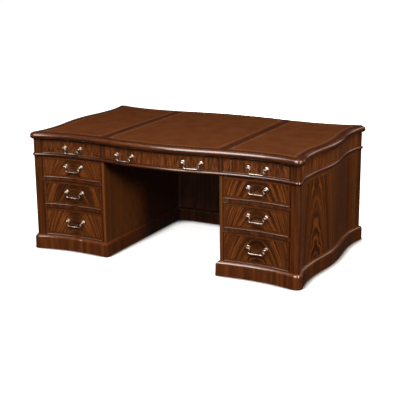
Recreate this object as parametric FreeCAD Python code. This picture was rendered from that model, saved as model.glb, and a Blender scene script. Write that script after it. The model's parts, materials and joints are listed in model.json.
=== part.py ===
import FreeCAD, Part
import math
import os

# Serpentine partners desk: nine drawers in front, two cupboards behind, leather writing surface.
# Millimetres, +Z up. The origin is on the floor under the centre of the desk, the front faces -Y.

os.makedirs("parts", exist_ok=True)

# Overall sizes
DESK_HEIGHT = 787.0
BODY_WIDTH = 1884.0
BODY_DEPTH = 1122.0
KNEEHOLE_WIDTH = 824.0

# Heights of the layers, from the top down; the pedestals take what is left
TOP_THICKNESS = 42.0
FRIEZE_HEIGHT = 95.0
WAIST_HEIGHT = 19.0
PLINTH_HEIGHT = 94.0

# Plan curve: how far each side swells at its centre, how deep its two hollows are,
# and the share of the half side at which the deepest place of a hollow lies.
# The corners are cut off by a small cant, whose arrises have a radius that is a share of it.
FRONT_BULGE = 6.0
FRONT_RECESS = 47.0
FRONT_HOLLOW_SHARE = 0.68
SIDE_BULGE = 3.5
SIDE_RECESS = 27.0
SIDE_HOLLOW_SHARE = 0.65
CORNER_CANT = 15.0
CORNER_ROUND_SHARE = 0.93

# Top
TOP_OVERHANG = 23.0
TOP_STEP = 3.0
TOP_BOARD = 28.0
TOP_EDGE_INSET = 14.0
TOP_LEDGE = 28.0
LEATHER_THICKNESS = 1.5
LEATHER_BAND = 26.0
LEATHER_STRIP = 46.0

# Carcass boards
PANEL_THICKNESS = 20.0
PEDESTAL_WALL = 19.0
FRIEZE_PARTITION = 16.0
POST_STILE = 48.0
RAIL_HEIGHT = 20.0
RAIL_DEPTH = 60.0
PEDESTAL_PARTITION = 12.0
RUNNER_WIDTH = 24.0
GUIDE_HEIGHT = 30.0
WAIST_TONGUE = 15.0
MODESTY_THICKNESS = 18.0
MODESTY_SETBACK = 91.0

# Plinth
PLINTH_PROJECTION = 20.0
PLINTH_CAP = 20.0
PLINTH_ROUND = 17.0
PLINTH_LEDGE = 32.0

# Drawers: the pedestal drawers grow downwards, by their shares of the height between the rails
TOP_DRAWER_SHARE = 0.286
MIDDLE_DRAWER_SHARE = 0.33
DRAWER_REACH = 520.0
DRAWER_BACK_GAP = 15.0
DRAWER_FRONT = 22.0
DRAWER_GAP = 2.0
DRAWER_HEADROOM = 8.0
DRAWER_SIDE = 12.0
DRAWER_BOTTOM = 6.0
BOTTOM_LIFT = 9.0
GROOVE_DEPTH = 5.0
RUNNER_CLEARANCE = 0.3
BEAD_WIDTH = 3.5
BEAD_PROUD = 2.5
BEAD_ROUND = 1.2
BEAD_FACE_SHARE = 0.9
DOVETAIL_LAP = 8.0
DOVETAIL_PITCH = 36.0
DOVETAIL_WIDTH = 22.0
DOVETAIL_SLOPE_SHARE = 1 / 7

# Pulls: two turned posts on rosettes, and a swan-neck bail that swings between them
POST_SPACING = 118.0
CENTRE_PULL_SPREAD = 476.0
PULL_RISE = 12.0
FRIEZE_PULL_DROP = 3.0
ROSETTE_RADIUS = 14.0
ROSETTE_RIM = 1.6
ROSETTE_HEIGHT = 4.0
ROSETTE_SEAT = 1.2
STEM_RADIUS = 2.5
STEM_TAIL = 5.0
COLLAR_RADIUS = 6.0
COLLAR_HEIGHT = 2.0
NECK_RADIUS = 4.0
BALL_RADIUS = 6.5
BALL_STANDOFF = 18.0
BAIL_RADIUS = 3.2
BAIL_DROP = 34.0
BAIL_NECK = 8.0
SWAN_ANGLE = 135.0
BAIL_PIN_RADIUS = 2.0
BAIL_PIN_REACH = 3.0
BAIL_BEAD_RADIUS = 4.8
BAIL_BEAD_SPACING = 14.0

# Cupboard doors
HINGE_LENGTH = 64.0
HINGE_INSET = 80.0
HINGE_BARREL_RADIUS = 4.5
HINGE_PIN_RADIUS = 2.0
HINGE_LEAF = 2.0
HINGE_LEAF_DEPTH = 18.0
HINGE_STANDOFF = 7.0
SWING_CLEARANCE = 1.0
KNOB_INSET = 34.0
KNOB_RADIUS = 11.0
KNOB_STANDOFF = 20.0

# Fits
FIT_CLEARANCE = 0.05
PART_CLEARANCE = 0.3
CUT_OVERRUN = 40.0

# Heights and places worked out from the sizes above
TOP_UNDERSIDE = DESK_HEIGHT - TOP_THICKNESS
PANEL_UNDERSIDE = DESK_HEIGHT - TOP_BOARD
FRIEZE_BOTTOM = TOP_UNDERSIDE - FRIEZE_HEIGHT
WAIST_BOTTOM = FRIEZE_BOTTOM - WAIST_HEIGHT
PLINTH_SHOULDER = PLINTH_HEIGHT - PLINTH_CAP
DRAWER_SPACE = WAIST_BOTTOM - PLINTH_HEIGHT - 2 * RAIL_HEIGHT
UPPER_RAIL_TOP = WAIST_BOTTOM - DRAWER_SPACE * TOP_DRAWER_SHARE
MIDDLE_TOP = UPPER_RAIL_TOP - RAIL_HEIGHT
LOWER_RAIL_TOP = MIDDLE_TOP - DRAWER_SPACE * MIDDLE_DRAWER_SHARE
BOTTOM_TOP = LOWER_RAIL_TOP - RAIL_HEIGHT

CORNER_ROUND = CORNER_CANT * CORNER_ROUND_SHARE
FRONT_HOLLOW = BODY_WIDTH / 2 * FRONT_HOLLOW_SHARE
SIDE_HOLLOW = BODY_DEPTH / 2 * SIDE_HOLLOW_SHARE
KNEE_X = KNEEHOLE_WIDTH / 2
WALL_X = KNEE_X + PEDESTAL_WALL
MUNTIN_X = KNEE_X + FRIEZE_PARTITION
POST_X = BODY_WIDTH / 2 - CORNER_CANT - POST_STILE
POST_Y = BODY_DEPTH / 2 - CORNER_CANT - POST_STILE
FAR = BODY_WIDTH
BOX_BACK_Y = DRAWER_REACH - BODY_DEPTH / 2
PARTITION_Y = BOX_BACK_Y + DRAWER_BACK_GAP
PULL_X = (WALL_X + POST_X) / 2
MODESTY_Y = BODY_DEPTH / 2 - MODESTY_SETBACK - MODESTY_THICKNESS

ORIGIN = FreeCAD.Vector()
X_AXIS = FreeCAD.Vector(1, 0, 0)
Y_AXIS = FreeCAD.Vector(0, 1, 0)
Z_AXIS = FreeCAD.Vector(0, 0, 1)


def vector(x, y, z):
    """A point or a direction."""
    return FreeCAD.Vector(x, y, z)


def block(x0, x1, y0, y1, z0, z1):
    """Box between two corners."""
    return Part.makeBox(x1 - x0, y1 - y0, z1 - z0, vector(x0, y0, z0))


def mirrored_x(shape):
    """The same shape on the other end of the desk."""
    return shape.mirror(ORIGIN, X_AXIS)


def mirrored_y(shape):
    """The same shape on the other face of the desk."""
    return shape.mirror(ORIGIN, Y_AXIS)


def mirrored_point_y(point):
    """A point's twin on the other face of the desk."""
    return vector(point.x, -point.y, point.z)


def half_turned(shape):
    """A copy turned half round the middle of the desk."""
    copy = shape.copy()
    copy.rotate(ORIGIN, Z_AXIS, 180)
    return copy


def bend(start, end, centre):
    """Arc edge from start to end, less than half a circle round a centre."""
    middle = (start + end) * 0.5 - centre
    middle.Length = (start - centre).Length
    return Part.Arc(start, centre + middle, end).toShape()


def polyline(points):
    """Line edges through points."""
    return [Part.makeLine(a, b) for a, b in zip(points, points[1:])]


class SerpentineSide:
    """One side of the plan: a swell between two hollows, drawn with five tangent arcs.

    Local places are (t, n): t runs along the side from its centre, n points outwards from the
    straight line through the two corners. The turn is in quarter turns from the front.
    """

    def __init__(self, half_run, distance, bulge, recess, hollow, turn):
        self.half_run = half_run
        self.distance = distance
        self.bulge = bulge
        self.recess = recess
        self.hollow = hollow
        self.turn = turn
        self.zones = {}
        rise = bulge + recess
        flank = half_run - hollow
        self.swell_radius = (hollow ** 2 + rise ** 2) / (4 * rise)
        self.flank_radius = (flank ** 2 + recess ** 2) / (2 * recess)

    def world(self, t, n, z=0):
        """Point of the desk at a local place."""
        point = vector(t, -self.distance - n, z)
        return FreeCAD.Rotation(Z_AXIS, 90 * self.turn).multVec(point)

    def level(self, t):
        """How far the face stands out from the corner line at t."""
        place = abs(t)
        swell = self.swell_radius
        if place <= self.hollow / 2:
            return self.bulge - swell + math.sqrt(swell ** 2 - place ** 2)
        if place <= self.hollow:
            return swell - self.recess - math.sqrt(swell ** 2 - (self.hollow - place) ** 2)
        flank = self.flank_radius
        return flank - self.recess - math.sqrt(flank ** 2 - (place - self.hollow) ** 2)

    def corner(self, offset):
        """Local place where the offset side meets the offset canted corner."""
        line = self.half_run + offset * math.sqrt(2)
        from_centre = line - (self.flank_radius - self.recess)
        radius = self.flank_radius - offset
        root = math.sqrt(2 * radius ** 2 - (self.hollow - from_centre) ** 2)
        t = (self.hollow + from_centre + root) / 2
        return t, line - t

    def end(self, offset):
        """Local place where the offset side turns into its corner, which is sharp further in."""
        if offset <= -CORNER_ROUND:
            return self.corner(offset)
        pivot_t, pivot_n = self.corner(-CORNER_ROUND)
        share = (self.flank_radius - offset) / (self.flank_radius + CORNER_ROUND)
        centre_n = self.flank_radius - self.recess
        return self.hollow + (pivot_t - self.hollow) * share, centre_n + (pivot_n - centre_n) * share

    def arcs(self, offset):
        """Five arcs from left to right: centre, start, end and +1 for a swell, -1 for a hollow."""
        swell = self.swell_radius
        middle_t = self.hollow / 2
        middle_n = (self.bulge - self.recess) / 2
        crown_n = self.bulge - swell
        stretch = (swell + offset) / swell
        turn_t = middle_t * stretch
        turn_n = crown_n + (middle_n - crown_n) * stretch
        deep_n = offset - self.recess
        corner_t, corner_n = self.end(offset)
        hollow_n = swell - self.recess
        flank_n = self.flank_radius - self.recess
        places = [
            ((-self.hollow, flank_n), (-corner_t, corner_n), (-self.hollow, deep_n), -1),
            ((-self.hollow, hollow_n), (-self.hollow, deep_n), (-turn_t, turn_n), -1),
            ((0, crown_n), (-turn_t, turn_n), (turn_t, turn_n), 1),
            ((self.hollow, hollow_n), (turn_t, turn_n), (self.hollow, deep_n), -1),
            ((self.hollow, flank_n), (self.hollow, deep_n), (corner_t, corner_n), -1),
        ]
        return [(self.world(*c), self.world(*a), self.world(*b), sign) for c, a, b, sign in places]

    def zone(self, offset):
        """Full-height prism of everything behind the offset side, past both corners."""
        if offset not in self.zones:
            arcs = self.arcs(offset)
            end_t = self.half_run + CORNER_CANT
            radius = self.flank_radius - offset
            drop = math.sqrt(radius ** 2 - (end_t - self.hollow) ** 2)
            end_n = self.flank_radius - self.recess - drop
            ends = [self.world(-end_t, end_n), self.world(end_t, end_n)]
            edges = [bend(ends[0], arcs[0][2], arcs[0][0])]
            edges += [bend(start, end, centre) for centre, start, end, sign in arcs[1:-1]]
            edges.append(bend(arcs[-1][1], ends[1], arcs[-1][0]))
            deep_n = -2 * self.distance
            edges += polyline([ends[1], self.world(end_t, deep_n), self.world(-end_t, deep_n), ends[0]])
            self.zones[offset] = Part.Face(Part.Wire(edges)).extrude(Z_AXIS * DESK_HEIGHT)
        return self.zones[offset]

    def slab(self, outer, inner, box):
        """What lies in a box between two offsets of this side."""
        return box.common(self.zone(outer)).cut(self.zone(inner))


FRONT = SerpentineSide(
    BODY_WIDTH / 2 - CORNER_CANT, BODY_DEPTH / 2, FRONT_BULGE, FRONT_RECESS, FRONT_HOLLOW, 0)
RIGHT = SerpentineSide(
    BODY_DEPTH / 2 - CORNER_CANT, BODY_WIDTH / 2, SIDE_BULGE, SIDE_RECESS, SIDE_HOLLOW, 1)
BACK = SerpentineSide(
    BODY_WIDTH / 2 - CORNER_CANT, BODY_DEPTH / 2, FRONT_BULGE, FRONT_RECESS, FRONT_HOLLOW, 2)
LEFT = SerpentineSide(
    BODY_DEPTH / 2 - CORNER_CANT, BODY_WIDTH / 2, SIDE_BULGE, SIDE_RECESS, SIDE_HOLLOW, 3)
SIDES = [FRONT, RIGHT, BACK, LEFT]


class Corner:
    """Canted corner between the right end of one side and the left end of the next, its arrises rounded."""

    def __init__(self, first, second):
        self.first = first
        self.second = second
        self.first_pivot, self.second_pivot = self.sharp_ends(-CORNER_ROUND)
        self.along = self.second_pivot - self.first_pivot
        self.along.normalize()
        self.outward = vector(self.along.y, -self.along.x, 0)
        self.start = first.arcs(0)[-1][2]
        self.finish = second.arcs(0)[0][1]

    def sharp_ends(self, offset):
        """Where the two offset sides meet the offset cant."""
        t, n = self.first.corner(offset)
        start = self.first.world(t, n)
        t, n = self.second.corner(offset)
        return start, self.second.world(-t, n)

    def sides_meet(self, offset):
        """Whether the offset plan is so far in that its two sides meet before the cant."""
        start, end = self.sharp_ends(offset)
        return (end - start).dot(self.along) <= 0

    def cant(self, offset):
        """Ends of the straight cant, moved out or in by an offset."""
        step = self.outward * (CORNER_ROUND + offset)
        return self.first_pivot + step, self.second_pivot + step

    def edges(self, offset, last, following):
        """Edges round the corner of the offset plan, from the end of one side to the start of the next."""
        if offset <= -CORNER_ROUND:
            return [Part.makeLine(last, following)]
        leave, arrive = self.cant(offset)
        return [
            bend(last, leave, self.first_pivot), Part.makeLine(leave, arrive),
            bend(arrive, following, self.second_pivot)]


CORNERS = [Corner(first, second) for first, second in zip(SIDES, SIDES[1:] + SIDES[:1])]
PLAN_CACHE = {}


def cornered_plan(offset):
    """Prism of the offset plan with its canted corners."""
    edges = []
    runs = [side.arcs(offset) for side in SIDES]
    for arcs, corner, following in zip(runs, CORNERS, runs[1:] + runs[:1]):
        edges += [bend(start, end, centre) for centre, start, end, sign in arcs]
        edges += corner.edges(offset, arcs[-1][2], following[0][1])
    return Part.Face(Part.Wire(edges)).extrude(Z_AXIS * DESK_HEIGHT)


def sharp_plan(offset):
    """Prism of the plan far inside, where the sides meet without a cant."""
    prism = FRONT.zone(offset)
    for side in SIDES[1:]:
        prism = prism.common(side.zone(offset))
    return prism


def plan(offset):
    """Full-height prism of the desk's plan, moved out or in by an offset."""
    if offset not in PLAN_CACHE:
        far_in = CORNERS[0].sides_meet(offset)
        PLAN_CACHE[offset] = sharp_plan(offset) if far_in else cornered_plan(offset)
    return PLAN_CACHE[offset]


def closed_face(edges):
    """Face inside a list of edges."""
    return Part.Face(Part.Wire(Part.__sortEdges__(edges)))


def top_profile(at):
    """Half-round edge under a small step, with a ledge inside that carries the top panel."""
    radius = (TOP_THICKNESS - TOP_STEP) / 2
    root = TOP_OVERHANG - radius
    shoulder = DESK_HEIGHT - TOP_STEP
    ledge = -TOP_EDGE_INSET - TOP_LEDGE
    nose = Part.Arc(at(root, TOP_UNDERSIDE), at(TOP_OVERHANG, TOP_UNDERSIDE + radius), at(root, shoulder))
    back = [
        at(root, shoulder), at(root, DESK_HEIGHT), at(-TOP_EDGE_INSET, DESK_HEIGHT),
        at(-TOP_EDGE_INSET, PANEL_UNDERSIDE), at(ledge, PANEL_UNDERSIDE),
        at(ledge, TOP_UNDERSIDE), at(root, TOP_UNDERSIDE)]
    return closed_face([nose.toShape()] + polyline(back))


def waist_profile(at):
    """Half-round bead with a tongue let in between the frieze and the pedestals."""
    radius = WAIST_HEIGHT / 2
    bead = Part.Arc(at(0, WAIST_BOTTOM), at(radius, WAIST_BOTTOM + radius), at(0, FRIEZE_BOTTOM))
    back = [
        at(0, FRIEZE_BOTTOM), at(-WAIST_TONGUE, FRIEZE_BOTTOM),
        at(-WAIST_TONGUE, WAIST_BOTTOM), at(0, WAIST_BOTTOM)]
    return closed_face([bead.toShape()] + polyline(back))


def plinth_profile(at):
    """Plinth board with a quarter-round and fillet on top, and a shoulder that carries the carcass."""
    fillet = PLINTH_PROJECTION - PLINTH_ROUND
    round_bottom = PLINTH_SHOULDER
    round_top = round_bottom + PLINTH_ROUND
    middle = PLINTH_ROUND * math.sqrt(0.5)
    ovolo = Part.Arc(
        at(PLINTH_PROJECTION, round_bottom), at(fillet + middle, round_bottom + middle),
        at(fillet, round_top))
    back = [
        at(fillet, round_top), at(fillet, PLINTH_HEIGHT), at(0, PLINTH_HEIGHT), at(0, PLINTH_SHOULDER),
        at(-PLINTH_LEDGE, PLINTH_SHOULDER), at(-PLINTH_LEDGE, 0), at(PLINTH_PROJECTION, 0),
        at(PLINTH_PROJECTION, round_bottom)]
    return closed_face([ovolo.toShape()] + polyline(back))


def turned_profile(profile, centre, start, angle, sign):
    """Profile turned about an upright axis, its outward side away from a swell's centre."""
    arm = start - centre
    radius = arm.Length
    outward = arm * (1 / radius)

    def at(n, z):
        return centre + outward * (radius + sign * n) + Z_AXIS * z

    return profile(at).revolve(centre, Z_AXIS, angle)


def signed_angle(start, end):
    """Angle in degrees from one level direction to another, positive to the left."""
    angle = math.degrees(start.getAngle(end))
    return angle if start.cross(end).z > 0 else -angle


def moulding_run(profile, side):
    """One side's moulding along its five arcs, up to its rounded corners."""
    pieces = []
    for centre, start, end, sign in side.arcs(0):
        angle = signed_angle(start - centre, end - centre)
        pieces.append(turned_profile(profile, centre, start, angle, sign))
    return pieces[0].fuse(pieces[1:]).removeSplitter()


def rounded_arris(profile, pivot, start, end):
    """Moulding round one arris of a corner: what of the profile lies outside the pivot, turned about it."""
    outward = start - pivot
    outward.normalize()

    def at(n, z):
        return pivot + outward * (CORNER_ROUND + n) + Z_AXIS * z

    low = -CORNER_ROUND
    frame = [at(low, 0), at(FAR, 0), at(FAR, DESK_HEIGHT), at(low, DESK_HEIGHT), at(low, 0)]
    outer = profile(at).common(closed_face(polyline(frame))).Faces[0]
    return outer.revolve(pivot, Z_AXIS, signed_angle(start - pivot, end - pivot))


def corner_length(profile, corner):
    """Moulding round one corner: two rounded arrises and the straight cant between them."""
    leave, arrive = corner.cant(0)
    first = rounded_arris(profile, corner.first_pivot, corner.start, leave)
    second = rounded_arris(profile, corner.second_pivot, arrive, corner.finish)
    straight = straight_run(profile, leave, arrive, 0)
    return straight.fuse([first, second]).removeSplitter()


def straight_run(profile, start, end, spare):
    """Straight moulding between two points, with spare length, its outward side on the right."""
    along = end - start
    along.Length = 1
    outward = vector(along.y, -along.x, 0)
    foot = start - along * spare

    def at(n, z):
        return foot + outward * n + Z_AXIS * z

    return profile(at).extrude(along * ((end - start).Length + 2 * spare))


def beyond(point, direction):
    """Everything past an upright plane through a point, for mitre cuts."""
    reach = BODY_WIDTH + BODY_DEPTH
    tool = Part.makeBox(reach, 2 * reach, 2 * reach, vector(0, -reach, -reach))
    tool.rotate(ORIGIN, Z_AXIS, math.degrees(math.atan2(direction.y, direction.x)))
    tool.translate(point)
    return tool


def mitre(point, first, second):
    """Tool on the far side of the mitre between two headings that meet in a point."""
    first.Length = 1
    second.Length = 1
    return beyond(point, first + second)


class Ring:
    """A moulding round the whole plan, in four curved lengths and four short ones round the corners."""

    def __init__(self, profile):
        corner = CORNERS[0]
        self.cant = corner_length(profile, corner)
        past_middle = beyond((corner.start + corner.finish) * 0.5, corner.along)
        front = moulding_run(profile, FRONT).cut([self.cant, past_middle])
        self.front = front.cut([mirrored_x(self.cant), mirrored_x(past_middle)])
        side = moulding_run(profile, RIGHT).common(past_middle).cut(self.cant)
        self.side = side.common(mirrored_y(past_middle)).cut(mirrored_y(self.cant))

    def lengths(self):
        """All eight lengths."""
        corners = [self.cant, mirrored_x(self.cant), mirrored_y(self.cant), half_turned(self.cant)]
        return [self.front, half_turned(self.front), self.side, half_turned(self.side)] + corners


def export(node, solids):
    """Write one node."""
    shape = Part.makeCompound(solids) if len(solids) > 1 else solids[0]
    shape.exportStep("parts/%s.step" % node)
    print(node, len(solids), all(s.isValid() for s in solids))


def solids_of(shapes):
    """The separate solids of several shapes."""
    return [solid for shape in shapes for solid in shape.Solids]


def leather_panels():
    """Three leather panels that follow the plan of the desk, their top flush with the wood."""
    strip_middle = KNEE_X + PEDESTAL_WALL / 2
    inner = strip_middle + LEATHER_STRIP / 2
    centre = strip_middle - LEATHER_STRIP / 2
    low = DESK_HEIGHT - LEATHER_THICKNESS
    spans = [(-FAR, -inner), (-centre, centre), (inner, FAR)]
    field = plan(-LEATHER_BAND)
    return [block(x0, x1, -FAR, FAR, low, DESK_HEIGHT).common(field) for x0, x1 in spans]


def top_panel(leather):
    """Flat top inside the moulded edge, sunk for the leather."""
    level = block(-FAR, FAR, -FAR, FAR, PANEL_UNDERSIDE, DESK_HEIGHT)
    return level.common(plan(-TOP_EDGE_INSET)).cut(leather)


def corner_post(z0, z1):
    """Front right post with its canted corner."""
    return block(POST_X, FAR, -FAR, -POST_Y, z0, z1).common(plan(0))


def side_panel(z0, z1):
    """Right serpentine panel between two posts."""
    return RIGHT.slab(0, -PANEL_THICKNESS, block(0, FAR, -POST_Y, POST_Y, z0, z1))


def bead_arrises(shape, uprights):
    """Edges of a raised bead that face outwards: all on its outer face but the joints between arcs."""
    found = []
    for edge in shape.Edges:
        middle = edge.CenterOfMass
        proud = -middle.y - BODY_DEPTH / 2 - FRONT.level(middle.x)
        upright = edge.BoundBox.ZLength > edge.BoundBox.XLength
        at_side = min(abs(middle.x - x) for x in uprights) < PART_CLEARANCE
        if proud > BEAD_PROUD * BEAD_FACE_SHARE and (at_side or not upright):
            found.append(edge)
    return found


def beaded(x0, x1, z0, z1, thickness):
    """Curved board with a raised bead, rounded, round its front edge."""
    box = block(x0, x1, -FAR, 0, z0, z1)
    inner_x0 = x0 + BEAD_WIDTH
    inner_x1 = x1 - BEAD_WIDTH
    inside = block(inner_x0, inner_x1, -FAR, 0, z0 + BEAD_WIDTH, z1 - BEAD_WIDTH)
    board = FRONT.slab(BEAD_PROUD, -thickness, box).cut(inside.cut(FRONT.zone(0)))
    return board.makeFillet(BEAD_ROUND, bead_arrises(board, [x0, inner_x0, inner_x1, x1]))


def frieze_back_panel():
    """Curved panel across the back between the posts, with three beaded dummy fronts."""
    box = block(-POST_X, POST_X, -FAR, 0, FRIEZE_BOTTOM, TOP_UNDERSIDE)
    panel = FRONT.slab(0, -PANEL_THICKNESS, box)
    low = FRIEZE_BOTTOM + DRAWER_GAP
    high = TOP_UNDERSIDE - DRAWER_GAP
    spans = [
        (-POST_X + DRAWER_GAP, -MUNTIN_X - DRAWER_GAP), (-KNEE_X + DRAWER_GAP, KNEE_X - DRAWER_GAP),
        (MUNTIN_X + DRAWER_GAP, POST_X - DRAWER_GAP)]
    beads = [beaded(x0, x1, low, high, PANEL_THICKNESS) for x0, x1 in spans]
    return mirrored_y(panel.fuse(beads).removeSplitter())


def frieze_partition(back_panel):
    """Right partition of the frieze, its front edge shown between two drawers."""
    board = block(KNEE_X, MUNTIN_X, -FAR, FAR, FRIEZE_BOTTOM, TOP_UNDERSIDE)
    return board.common(plan(0)).cut(back_panel)


def pedestal_wall():
    """Right kneehole wall, cut to the curves of the front and the back."""
    return block(KNEE_X, WALL_X, -FAR, FAR, PLINTH_SHOULDER, WAIST_BOTTOM).common(plan(0))


def pedestal_rails():
    """Two curved rails between the right drawers."""
    tops = [UPPER_RAIL_TOP, LOWER_RAIL_TOP]
    boxes = [block(WALL_X, POST_X, -FAR, 0, top - RAIL_HEIGHT, top) for top in tops]
    return [FRONT.slab(0, -RAIL_DEPTH, box) for box in boxes]


def pedestal_floor(posts):
    """Right pedestal's floor, on the ledge of the plinth."""
    board = block(WALL_X, FAR, -FAR, FAR, PLINTH_SHOULDER, PLINTH_HEIGHT).common(plan(-PANEL_THICKNESS))
    return board.cut(posts)


def pedestal_partition():
    """Upright board between the right drawers and the right cupboard."""
    back = PARTITION_Y + PEDESTAL_PARTITION
    board = block(WALL_X, FAR, PARTITION_Y, back, PLINTH_HEIGHT, WAIST_BOTTOM)
    return board.common(plan(-PANEL_THICKNESS))


def drawer_runners(rails):
    """Runners and guides of the right pedestal and the right frieze drawer."""
    pieces = []
    for top in [UPPER_RAIL_TOP, LOWER_RAIL_TOP]:
        low = top - RAIL_HEIGHT
        inner = block(WALL_X, WALL_X + RUNNER_WIDTH, -FAR, PARTITION_Y, low, top)
        pieces.append(inner.common(FRONT.zone(-RAIL_DEPTH)))
        outer = block(POST_X - RUNNER_WIDTH, FAR, -POST_Y, PARTITION_Y, low, top)
        pieces.append(outer.common(plan(-PANEL_THICKNESS)).cut(rails))
    for low in [UPPER_RAIL_TOP, LOWER_RAIL_TOP, PLINTH_HEIGHT, FRIEZE_BOTTOM]:
        guide = block(POST_X, FAR, -POST_Y, PARTITION_Y, low, low + GUIDE_HEIGHT)
        pieces.append(guide.common(plan(-PANEL_THICKNESS)))
    return pieces


def right_plinth():
    """Six mitred lengths of the right plinth, four curved or canted and two along the pedestal."""
    ring = Ring(plinth_profile)
    inner_corner = FRONT.world(KNEE_X, FRONT.level(KNEE_X))
    step = FRONT.world(KNEE_X + PEDESTAL_WALL, FRONT.level(KNEE_X + PEDESTAL_WALL)) - inner_corner
    keep = mitre(inner_corner, vector(0, -1, 0), step)
    front = ring.front.common(keep)
    straight = straight_run(plinth_profile, mirrored_point_y(inner_corner), inner_corner, CUT_OVERRUN)
    inner = straight.cut(keep).cut(mirrored_y(keep))
    return [front, ring.cant, ring.side, mirrored_y(ring.cant), mirrored_y(front), inner]


def modesty_plinth():
    """Plinth under the modesty panel, moulded on both sides, between the two pedestal plinths."""
    middle = MODESTY_Y + MODESTY_THICKNESS / 2
    half = MODESTY_THICKNESS / 2
    end = KNEE_X - PLINTH_PROJECTION
    board = plinth_profile(lambda n, z: vector(-end, middle - half - n, z)).extrude(X_AXIS * (2 * end))
    front_half = board.common(block(-FAR, FAR, -FAR, middle, 0, DESK_HEIGHT))
    back_half = front_half.mirror(vector(0, middle, 0), Y_AXIS)
    return front_half.fuse(back_half).removeSplitter()


def modesty_panel(plinths):
    """Upright panel that closes the kneehole, from its plinth's shoulder to the waist."""
    back = MODESTY_Y + MODESTY_THICKNESS
    return block(-KNEE_X, KNEE_X, MODESTY_Y, back, PLINTH_SHOULDER, WAIST_BOTTOM).cut(plinths)


def dovetails(x0, x1, z0, z1):
    """Wedge-shaped tails along a drawer side, widest at the front."""
    front_y = -BODY_DEPTH / 2 - FRONT_BULGE
    back_y = -BODY_DEPTH / 2 + FRONT_RECESS + DRAWER_FRONT
    flare = (back_y - front_y) * DOVETAIL_SLOPE_SHARE
    count = int((z1 - z0) // DOVETAIL_PITCH)
    pitch = (z1 - z0) / count
    tails = []
    for index in range(count):
        middle = z0 + pitch * (index + 0.5)
        narrow = DOVETAIL_WIDTH / 2 - flare / 2
        wide = DOVETAIL_WIDTH / 2 + flare / 2
        points = [
            vector(x0, back_y, middle - narrow), vector(x0, back_y, middle + narrow),
            vector(x0, front_y, middle + wide), vector(x0, front_y, middle - wide),
            vector(x0, back_y, middle - narrow)]
        tails.append(closed_face(polyline(points)).extrude(X_AXIS * (x1 - x0)))
    return Part.makeCompound(tails)


def drawer_side(x0, x1, z0, z1, bottom, front):
    """Side board, dovetailed into the front and grooved for the bottom."""
    board = block(x0, x1, -FAR, BOX_BACK_Y, z0, z1)
    tail_low = front.BoundBox.ZMin + BEAD_WIDTH
    tails = board.common(FRONT.zone(-DOVETAIL_LAP)).common(dovetails(x0, x1, tail_low, z1))
    return board.common(FRONT.zone(-DRAWER_FRONT)).fuse(tails).cut(bottom)


def drawer(x0, x1, z0, z1):
    """Front and box boards of the drawer for one opening."""
    front_x0 = x0 + DRAWER_GAP
    front_x1 = x1 - DRAWER_GAP
    front = beaded(front_x0, front_x1, z0 + DRAWER_GAP, z1 - DRAWER_GAP, DRAWER_FRONT)
    low = z0 + RUNNER_CLEARANCE
    high = z1 - DRAWER_HEADROOM
    inner_x0 = front_x0 + DRAWER_SIDE
    inner_x1 = front_x1 - DRAWER_SIDE
    back_y = BOX_BACK_Y - DRAWER_SIDE
    floor = low + BOTTOM_LIFT
    panel = block(
        inner_x0 - GROOVE_DEPTH, inner_x1 + GROOVE_DEPTH, -FAR, BOX_BACK_Y, floor, floor + DRAWER_BOTTOM)
    bottom = panel.common(FRONT.zone(GROOVE_DEPTH - DRAWER_FRONT))
    left = drawer_side(front_x0, inner_x0, low, high, bottom, front)
    right = drawer_side(inner_x1, front_x1, low, high, bottom, front)
    back = block(inner_x0, inner_x1, back_y, BOX_BACK_Y, floor + DRAWER_BOTTOM, high)
    front = front.cut([left, right, bottom])
    return front, [left, right, back, bottom]


def revolved(edges):
    """Solid turned about the outward axis, from edges in radius and stand-off."""
    return closed_face(edges).revolve(ORIGIN, Y_AXIS, 360)


def turning(radius, standoff):
    """Point of a turned profile: stand-off points out of the front."""
    return vector(radius, -standoff, 0)


def ball_end(neck, ball, standoff):
    """Edges of a ball on a neck, up to the axis, and where the neck meets the ball."""
    meet = standoff - math.sqrt(ball ** 2 - neck ** 2)
    arc = Part.Arc(turning(neck, meet), turning(ball, standoff), turning(0, standoff + ball)).toShape()
    return arc, meet


def stem(front_thickness, neck, ball, standoff):
    """Turned post: stem through the front, collar on the rosette, neck and ball."""
    tail = -front_thickness - STEM_TAIL
    collar_top = ROSETTE_HEIGHT + COLLAR_HEIGHT
    arc, meet = ball_end(neck, ball, standoff)
    line = [
        turning(0, standoff + ball), turning(0, tail), turning(STEM_RADIUS, tail),
        turning(STEM_RADIUS, ROSETTE_HEIGHT), turning(COLLAR_RADIUS, ROSETTE_HEIGHT),
        turning(COLLAR_RADIUS, collar_top), turning(neck, collar_top), turning(neck, meet)]
    return revolved(polyline(line) + [arc])


def rosette():
    """Domed round plate with a hole for the post."""
    hole = STEM_RADIUS + FIT_CLEARANCE
    crown = COLLAR_RADIUS + ROSETTE_RIM
    middle = turning((ROSETTE_RADIUS + crown) / 2, ROSETTE_HEIGHT - ROSETTE_RIM / 2)
    dome = Part.Arc(turning(ROSETTE_RADIUS, ROSETTE_RIM), middle, turning(crown, ROSETTE_HEIGHT)).toShape()
    line = [
        turning(crown, ROSETTE_HEIGHT), turning(hole, ROSETTE_HEIGHT), turning(hole, 0),
        turning(ROSETTE_RADIUS, 0), turning(ROSETTE_RADIUS, ROSETTE_RIM)]
    return revolved(polyline(line) + [dome])


def seat_cut(front_thickness):
    """Flat seat for a rosette and the hole behind it."""
    flat = Part.makeCylinder(
        ROSETTE_RADIUS + PART_CLEARANCE, ROSETTE_SEAT + BALL_STANDOFF, ORIGIN, Y_AXIS * -1)
    hole = Part.makeCylinder(
        STEM_RADIUS + FIT_CLEARANCE, front_thickness + CUT_OVERRUN, ORIGIN, Y_AXIS)
    return flat.fuse(hole)


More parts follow.
